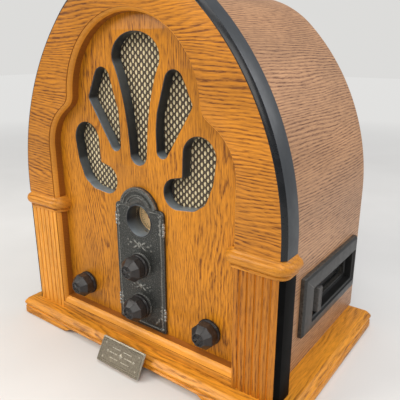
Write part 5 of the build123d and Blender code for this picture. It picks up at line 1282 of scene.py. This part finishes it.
shape = Shape()
shape.loft([side_rect(*r) for r in (
    (64.4, 159.6, 49.4, 83.6, bezel_lo.x, 0.5),
    (64.4, 159.6, 49.4, 83.6, SIDE_X + 0.05, 0.5),
    (50.0, 162.0, 43.0, 94.0, SIDE_X + 0.05, 0.8),
    (50.0, 162.0, 43.0, 94.0, SIDE_X + 2.9, 0.8),
    (50.3, 161.7, 43.3, 93.7, SIDE_X + 3.3, 0.8),
    (51.6, 160.4, 44.6, 92.2, SIDE_X + 4.4, 0.8),
    (52.4, 159.8, 45.4, 91.6, SIDE_X + 4.5, 0.8),
    (65.6, 159.2, 50.4, 81.4, SIDE_X + 4.5, 1.0),
    (66.0, 158.9, 50.8, 81.0, SIDE_X + 4.2, 1.0),
    (66.4, 158.6, 51.2, 80.6, SIDE_X + 3.1, 1.0),
    (68.4, 157.4, 52.5, 78.6, SIDE_X + 2.8, 1.0),
    (68.9, 156.9, 52.9, 78.1, SIDE_X + 2.4, 1.0),
    (69.0, 156.8, 53.0, 78.0, SIDE_X - 3.6, 1.0),
    (69.6, 156.4, 53.6, 77.4, SIDE_X - 4.0, 0.8),
    (88.0, 155.9, 55.5, 74.5, SIDE_X - 4.0, 0.8),
    (88.5, 155.5, 56.0, 74.0, SIDE_X - 4.5, 0.8),
    (88.5, 155.5, 56.0, 74.0, bezel_lo.x, 0.8),
)], ring=True)
shape.make("cassette_surround", black_plastic, replaces="cassette_bezel", slot="black_plastic")

shape = Shape()
button_lo, button_hi = low("eject_button"), high("eject_button")
d0, d1 = button_lo.y - FRONT, button_hi.y - FRONT
z0, z1 = button_lo.z, button_hi.z
shape.loft([side_rect(d0 + i, d1 - i, z0 + i, z1 - i, x, r) for i, x, r in (
    (0.0, 125.8, 1.0), (0.0, button_hi.x - 1.6, 1.0), (0.3, button_hi.x - 0.6, 1.0),
    (0.9, button_hi.x - 0.1, 0.9), (1.4, button_hi.x, 0.8), (2.2, button_hi.x - 0.4, 0.6),
)])
stem = circle_line(at(79.5), 65.5, 2.0, 24)
shape.loft([[(x, y, z) for y, z in stem] for x in (button_lo.x, button_lo.x + 14.5)])
shape.make("eject_key", grey_plastic, body="eject", replaces="eject_button", slot="grey_plastic")

shape = Shape()
flap_lo, flap_hi = low("cassette_flap"), high("cassette_flap")
pin_x = (flap_lo.x + flap_hi.x) / 2
f0, f1 = 88.7, 155.3
face = pin_x + 0.6
shape.loft([side_rect(*r) for r in (
    (f0, f1, flap_lo.z, flap_hi.z, face - 1.2, 0.8),
    (f0, f1, flap_lo.z, flap_hi.z, face - 0.3, 0.8),
    (f0 + 0.3, f1 - 0.3, flap_lo.z + 0.3, flap_hi.z - 0.3, face, 0.8),
    (f0 + 4.0, f1 - 4.0, flap_lo.z + 3.0, flap_hi.z - 4.2, face, 0.8),
    (f0 + 4.5, f1 - 4.5, flap_lo.z + 3.5, flap_hi.z - 4.7, face - 0.5, 0.8),
)])
shape.slab(circle_line(pin_x, flap_hi.z - 1.2, 1.0, 20), (flap_lo.y - FRONT, flap_hi.y - FRONT))
shape.make("cassette_door", black_plastic, body="flap", replaces="cassette_flap", slot="black_plastic")

# ---------------------------------------------------------------- nameplate

NAME_HALF = high("nameplate").x
foot = Vector((0, at(-24.5), 2.2))
crest = Vector((0, at(-13.5), 21.0))
up = (crest - foot).normalized()
out = Vector((0, -up.z, up.y))
name_length = (crest - foot).length


def name_loop(inset, rise):
    r = max(1.2 - inset * 0.3, 0.4)
    points = round_rect(-NAME_HALF + inset, inset, NAME_HALF - inset, name_length - inset, r, 4)
    return [tuple(foot + Vector((x, 0, 0)) + up * v + out * rise) for x, v in points]


shape = Shape()
levels = (
    (0.2, 0.0), (0.0, 0.2), (0.0, 1.15), (0.25, 1.45), (0.8, 1.6), (1.5, 1.6), (1.8, 1.25), (2.2, 1.2),
    (2.5, 1.45), (2.9, 1.45), (3.2, 1.15), (3.8, 1.1),
)
shape.loft([name_loop(i, r) for i, r in levels])


def bar(cx, cv, half_w, half_v, turn=0.0):
    """A raised bar with sloping sides on the plate."""
    c, s = math.cos(turn), math.sin(turn)
    loops = []
    for grow_by, rise in ((0.18, 1.0), (0.0, 1.35), (-0.15, 1.42)):
        w, v = half_w + grow_by, half_v + grow_by
        ring = [(-w, -v), (w, -v), (w, v), (-w, v)]
        turned = [(cx + p * c - q * s, cv + p * s + q * c) for p, q in ring]
        loops.append([tuple(foot + Vector((x, 0, 0)) + up * v + out * rise) for x, v in turned])
    shape.loft(loops)


middle = name_length / 2
bar(0, middle, 1.5, 1.5, math.pi / 4)
for side in (-1, 1):
    bar(side * 8.5, middle, 4.2, 0.28)
    bar(side * 15.0, middle, 0.8, 0.8, math.pi / 4)
    bar(side * 6.5, middle + 4.2, 4.5, 0.2)
    bar(side * 6.5, middle - 4.2, 4.5, 0.2)
    for v in (4.9, name_length - 4.9):
        bar(side * (NAME_HALF - 5.2), v, 0.55, 0.55, math.pi / 4)
shape.make("name_badge", plate_metal, replaces="nameplate", slot="plate_metal")

# ---------------------------------------------------------------- rear screws and the dial cord

SCREWS = ((-120, 40), (120, 40), (-120, 120), (120, 120))
SLOT = (1.3, 0.22)  # half-length and half-width of a screw's cross
shape = Shape()
for x, z in SCREWS:
    back = BODY_BACK - 3.0
    rings = ((1.2, 8.0), (1.2, -0.1), (1.9, -0.1), (1.95, -0.5), (1.7, -1.0), (1.1, -1.35), (0.4, -1.45))
    shape.lathe(x, back, z, rings, 24)
screws = shape.make("cover_screws", zinc, replaces="rear_cover_screws", slot="zinc_steel")
slots = []
for x, z in SCREWS:
    for u, v in (SLOT, SLOT[::-1]):
        slots.append(box_cutter(x - u, x + u, BODY_BACK - 2.2, BODY_BACK - 1.0, z - v, z + v))
cut(screws, *slots)

cord_depth = (low("dial_cord").y + high("dial_cord").y) / 2 - FRONT
path = hull_line((0, DIAL_Z, 18.55), (0, 85.5, 6.55))
loops = []
for i, (x, z) in enumerate(path):
    px, pz = path[i - 1]
    nx, nz = path[(i + 1) % len(path)]
    direction = Vector((nx - px, nz - pz)).normalized()
    side_dir = Vector((direction.y, -direction.x))
    twist = i * 0.35
    ring = []
    for k in range(8):
        a = k * math.pi / 4
        r = 0.36 + 0.03 * math.cos(3 * (a + twist))
        u = r * math.cos(a)
        ring.append((x + side_dir.x * u, at(cord_depth + r * math.sin(a)), z + side_dir.y * u))
    loops.append(ring)
shape = Shape()
shape.loft(loops, ring=True)
shape.make("dial_cord_loop", thread_waxed, replaces="dial_cord", slot="cord_brown")

BELT_HALF = (high("drive_belt").z - low("drive_belt").z) / 2
BELT_Z = low("drive_belt").z + BELT_HALF
wheels = []
for node_name in ("capstan_flywheel", "motor_pulley"):
    wheel_lo, wheel_hi = low(node_name), high(node_name)
    wheel_x, wheel_y = (wheel_lo.x + wheel_hi.x) / 2, (wheel_lo.y + wheel_hi.y) / 2
    wheels.append((wheel_x, wheel_y, (wheel_hi.x - wheel_lo.x) / 2 - 0.65))
BELT_SECTION = (
    (-0.4, -0.6), (-0.3, -0.7), (0.3, -0.7), (0.4, -0.6), (0.4, 0.6), (0.3, 0.7), (-0.3, 0.7), (-0.4, 0.6),
)
path = hull_line(*wheels)
loops = []
for i, (x, y) in enumerate(path):
    before, after = path[i - 1], path[(i + 1) % len(path)]
    ahead = Vector((after[0] - before[0], after[1] - before[1])).normalized()
    outward = Vector((ahead.y, -ahead.x))
    loops.append([(x + outward.x * w, y + outward.y * w, BELT_Z + h) for w, h in BELT_SECTION])
shape = Shape()
shape.loft(loops, ring=True)
shape.make("drive_belt_loop", rubber, replaces="drive_belt", slot="soft_rubber")

# ---------------------------------------------------------------- floor, light and camera

FLOOR_SIZE = 8.0
floor_tree = Tree("floor_pale")
soft = floor_tree.noise(floor_tree.stretch(120.0, 120.0, 120.0), 2.0)
# Far from the object the camera sees the floor run into the backdrop; the light it throws stays the same.
BACKDROP = (0.72, 0.715, 0.7)
reach = floor_tree.node("ShaderNodeVectorMath", {0: floor_tree.coords}, operation="LENGTH").outputs["Value"]
camera_ray = floor_tree.node("ShaderNodeLightPath").outputs["Is Camera Ray"]
fade = floor_tree.math("MULTIPLY", camera_ray, floor_tree.span(reach, 0.4, 1.5))
pale = floor_tree.mix(floor_tree.span(soft, 0.3, 0.7), (0.74, 0.73, 0.71), (0.7, 0.69, 0.67))
floor_tree.set("Base Color", floor_tree.mix(fade, pale, (0.0, 0.0, 0.0)))
floor_tree.set("Emission Color", BACKDROP)
floor_tree.set("Emission Strength", fade)
floor_tree.set("Roughness", 0.6)
bpy.ops.mesh.primitive_plane_add(size=FLOOR_SIZE, location=(0, 0, 0))
floor = bpy.context.object
floor.name = "floor"
floor.data.materials.append(floor_tree.material)

world = bpy.context.scene.world or bpy.data.worlds.new("studio")
bpy.context.scene.world = world
world.use_nodes = True
sky = world.node_tree
seen = sky.nodes.new("ShaderNodeLightPath").outputs["Is Camera Ray"]
tint = sky.nodes.new("ShaderNodeMix")
tint.data_type = "RGBA"
tint.inputs[6].default_value = (0.279, 0.285, 0.3, 1.0)  # the soft light it gives
tint.inputs[7].default_value = (*BACKDROP, 1.0)  # what the camera sees behind the floor
sky.links.new(seen, tint.inputs[0])
sky.links.new(tint.outputs[2], sky.nodes["Background"].inputs["Color"])
sky.nodes["Background"].inputs["Strength"].default_value = 1.0


def aim(obj, place_at, heading):
    obj.location = place_at
    obj.rotation_euler = heading.to_track_quat("-Z", "Y").to_euler()


def area(name, place_at, target, size, watts, color=(1.0, 1.0, 1.0)):
    light = bpy.data.lights.new(name, "AREA")
    light.shape = "RECTANGLE"
    light.size, light.size_y = size
    light.energy = watts
    light.color = color
    aim(linked(name, light), place_at, Vector(target) - Vector(place_at))


area("key", (-0.8, -1.10, 0.9), (0, 0, 0.1), (0.8, 0.7), 15.0, (1.0, 0.96, 0.89))
area("front", (0.75, -1.05, 1.10), (0, 0, 0.12), (0.9, 0.8), 9.5, (1.0, 0.97, 0.92))
area("window", (1.30, 0.7, 1.15), (0.1, 0, 0.2), (1.1, 1.0), 12.5, (0.98, 0.98, 1.0))
area("top", (0.15, -0.1, 1.5), (0, 0, 0.2), (0.9, 0.9), 9.0)

camera = bpy.data.cameras.new("camera")
camera.sensor_width = 36.0
camera.lens = 43.19
camera.clip_start = 0.01
eye = linked("camera", camera)
yaw, pitch = math.radians(36.55), math.radians(17.75)
heading = Vector((-math.sin(yaw) * math.cos(pitch), math.cos(yaw) * math.cos(pitch), -math.sin(pitch)))
aim(eye, (0.2584, (FRONT - 256.3) * MM, 0.2604), heading)
bpy.context.scene.camera = eye
bpy.context.scene.view_settings.view_transform = "Standard"
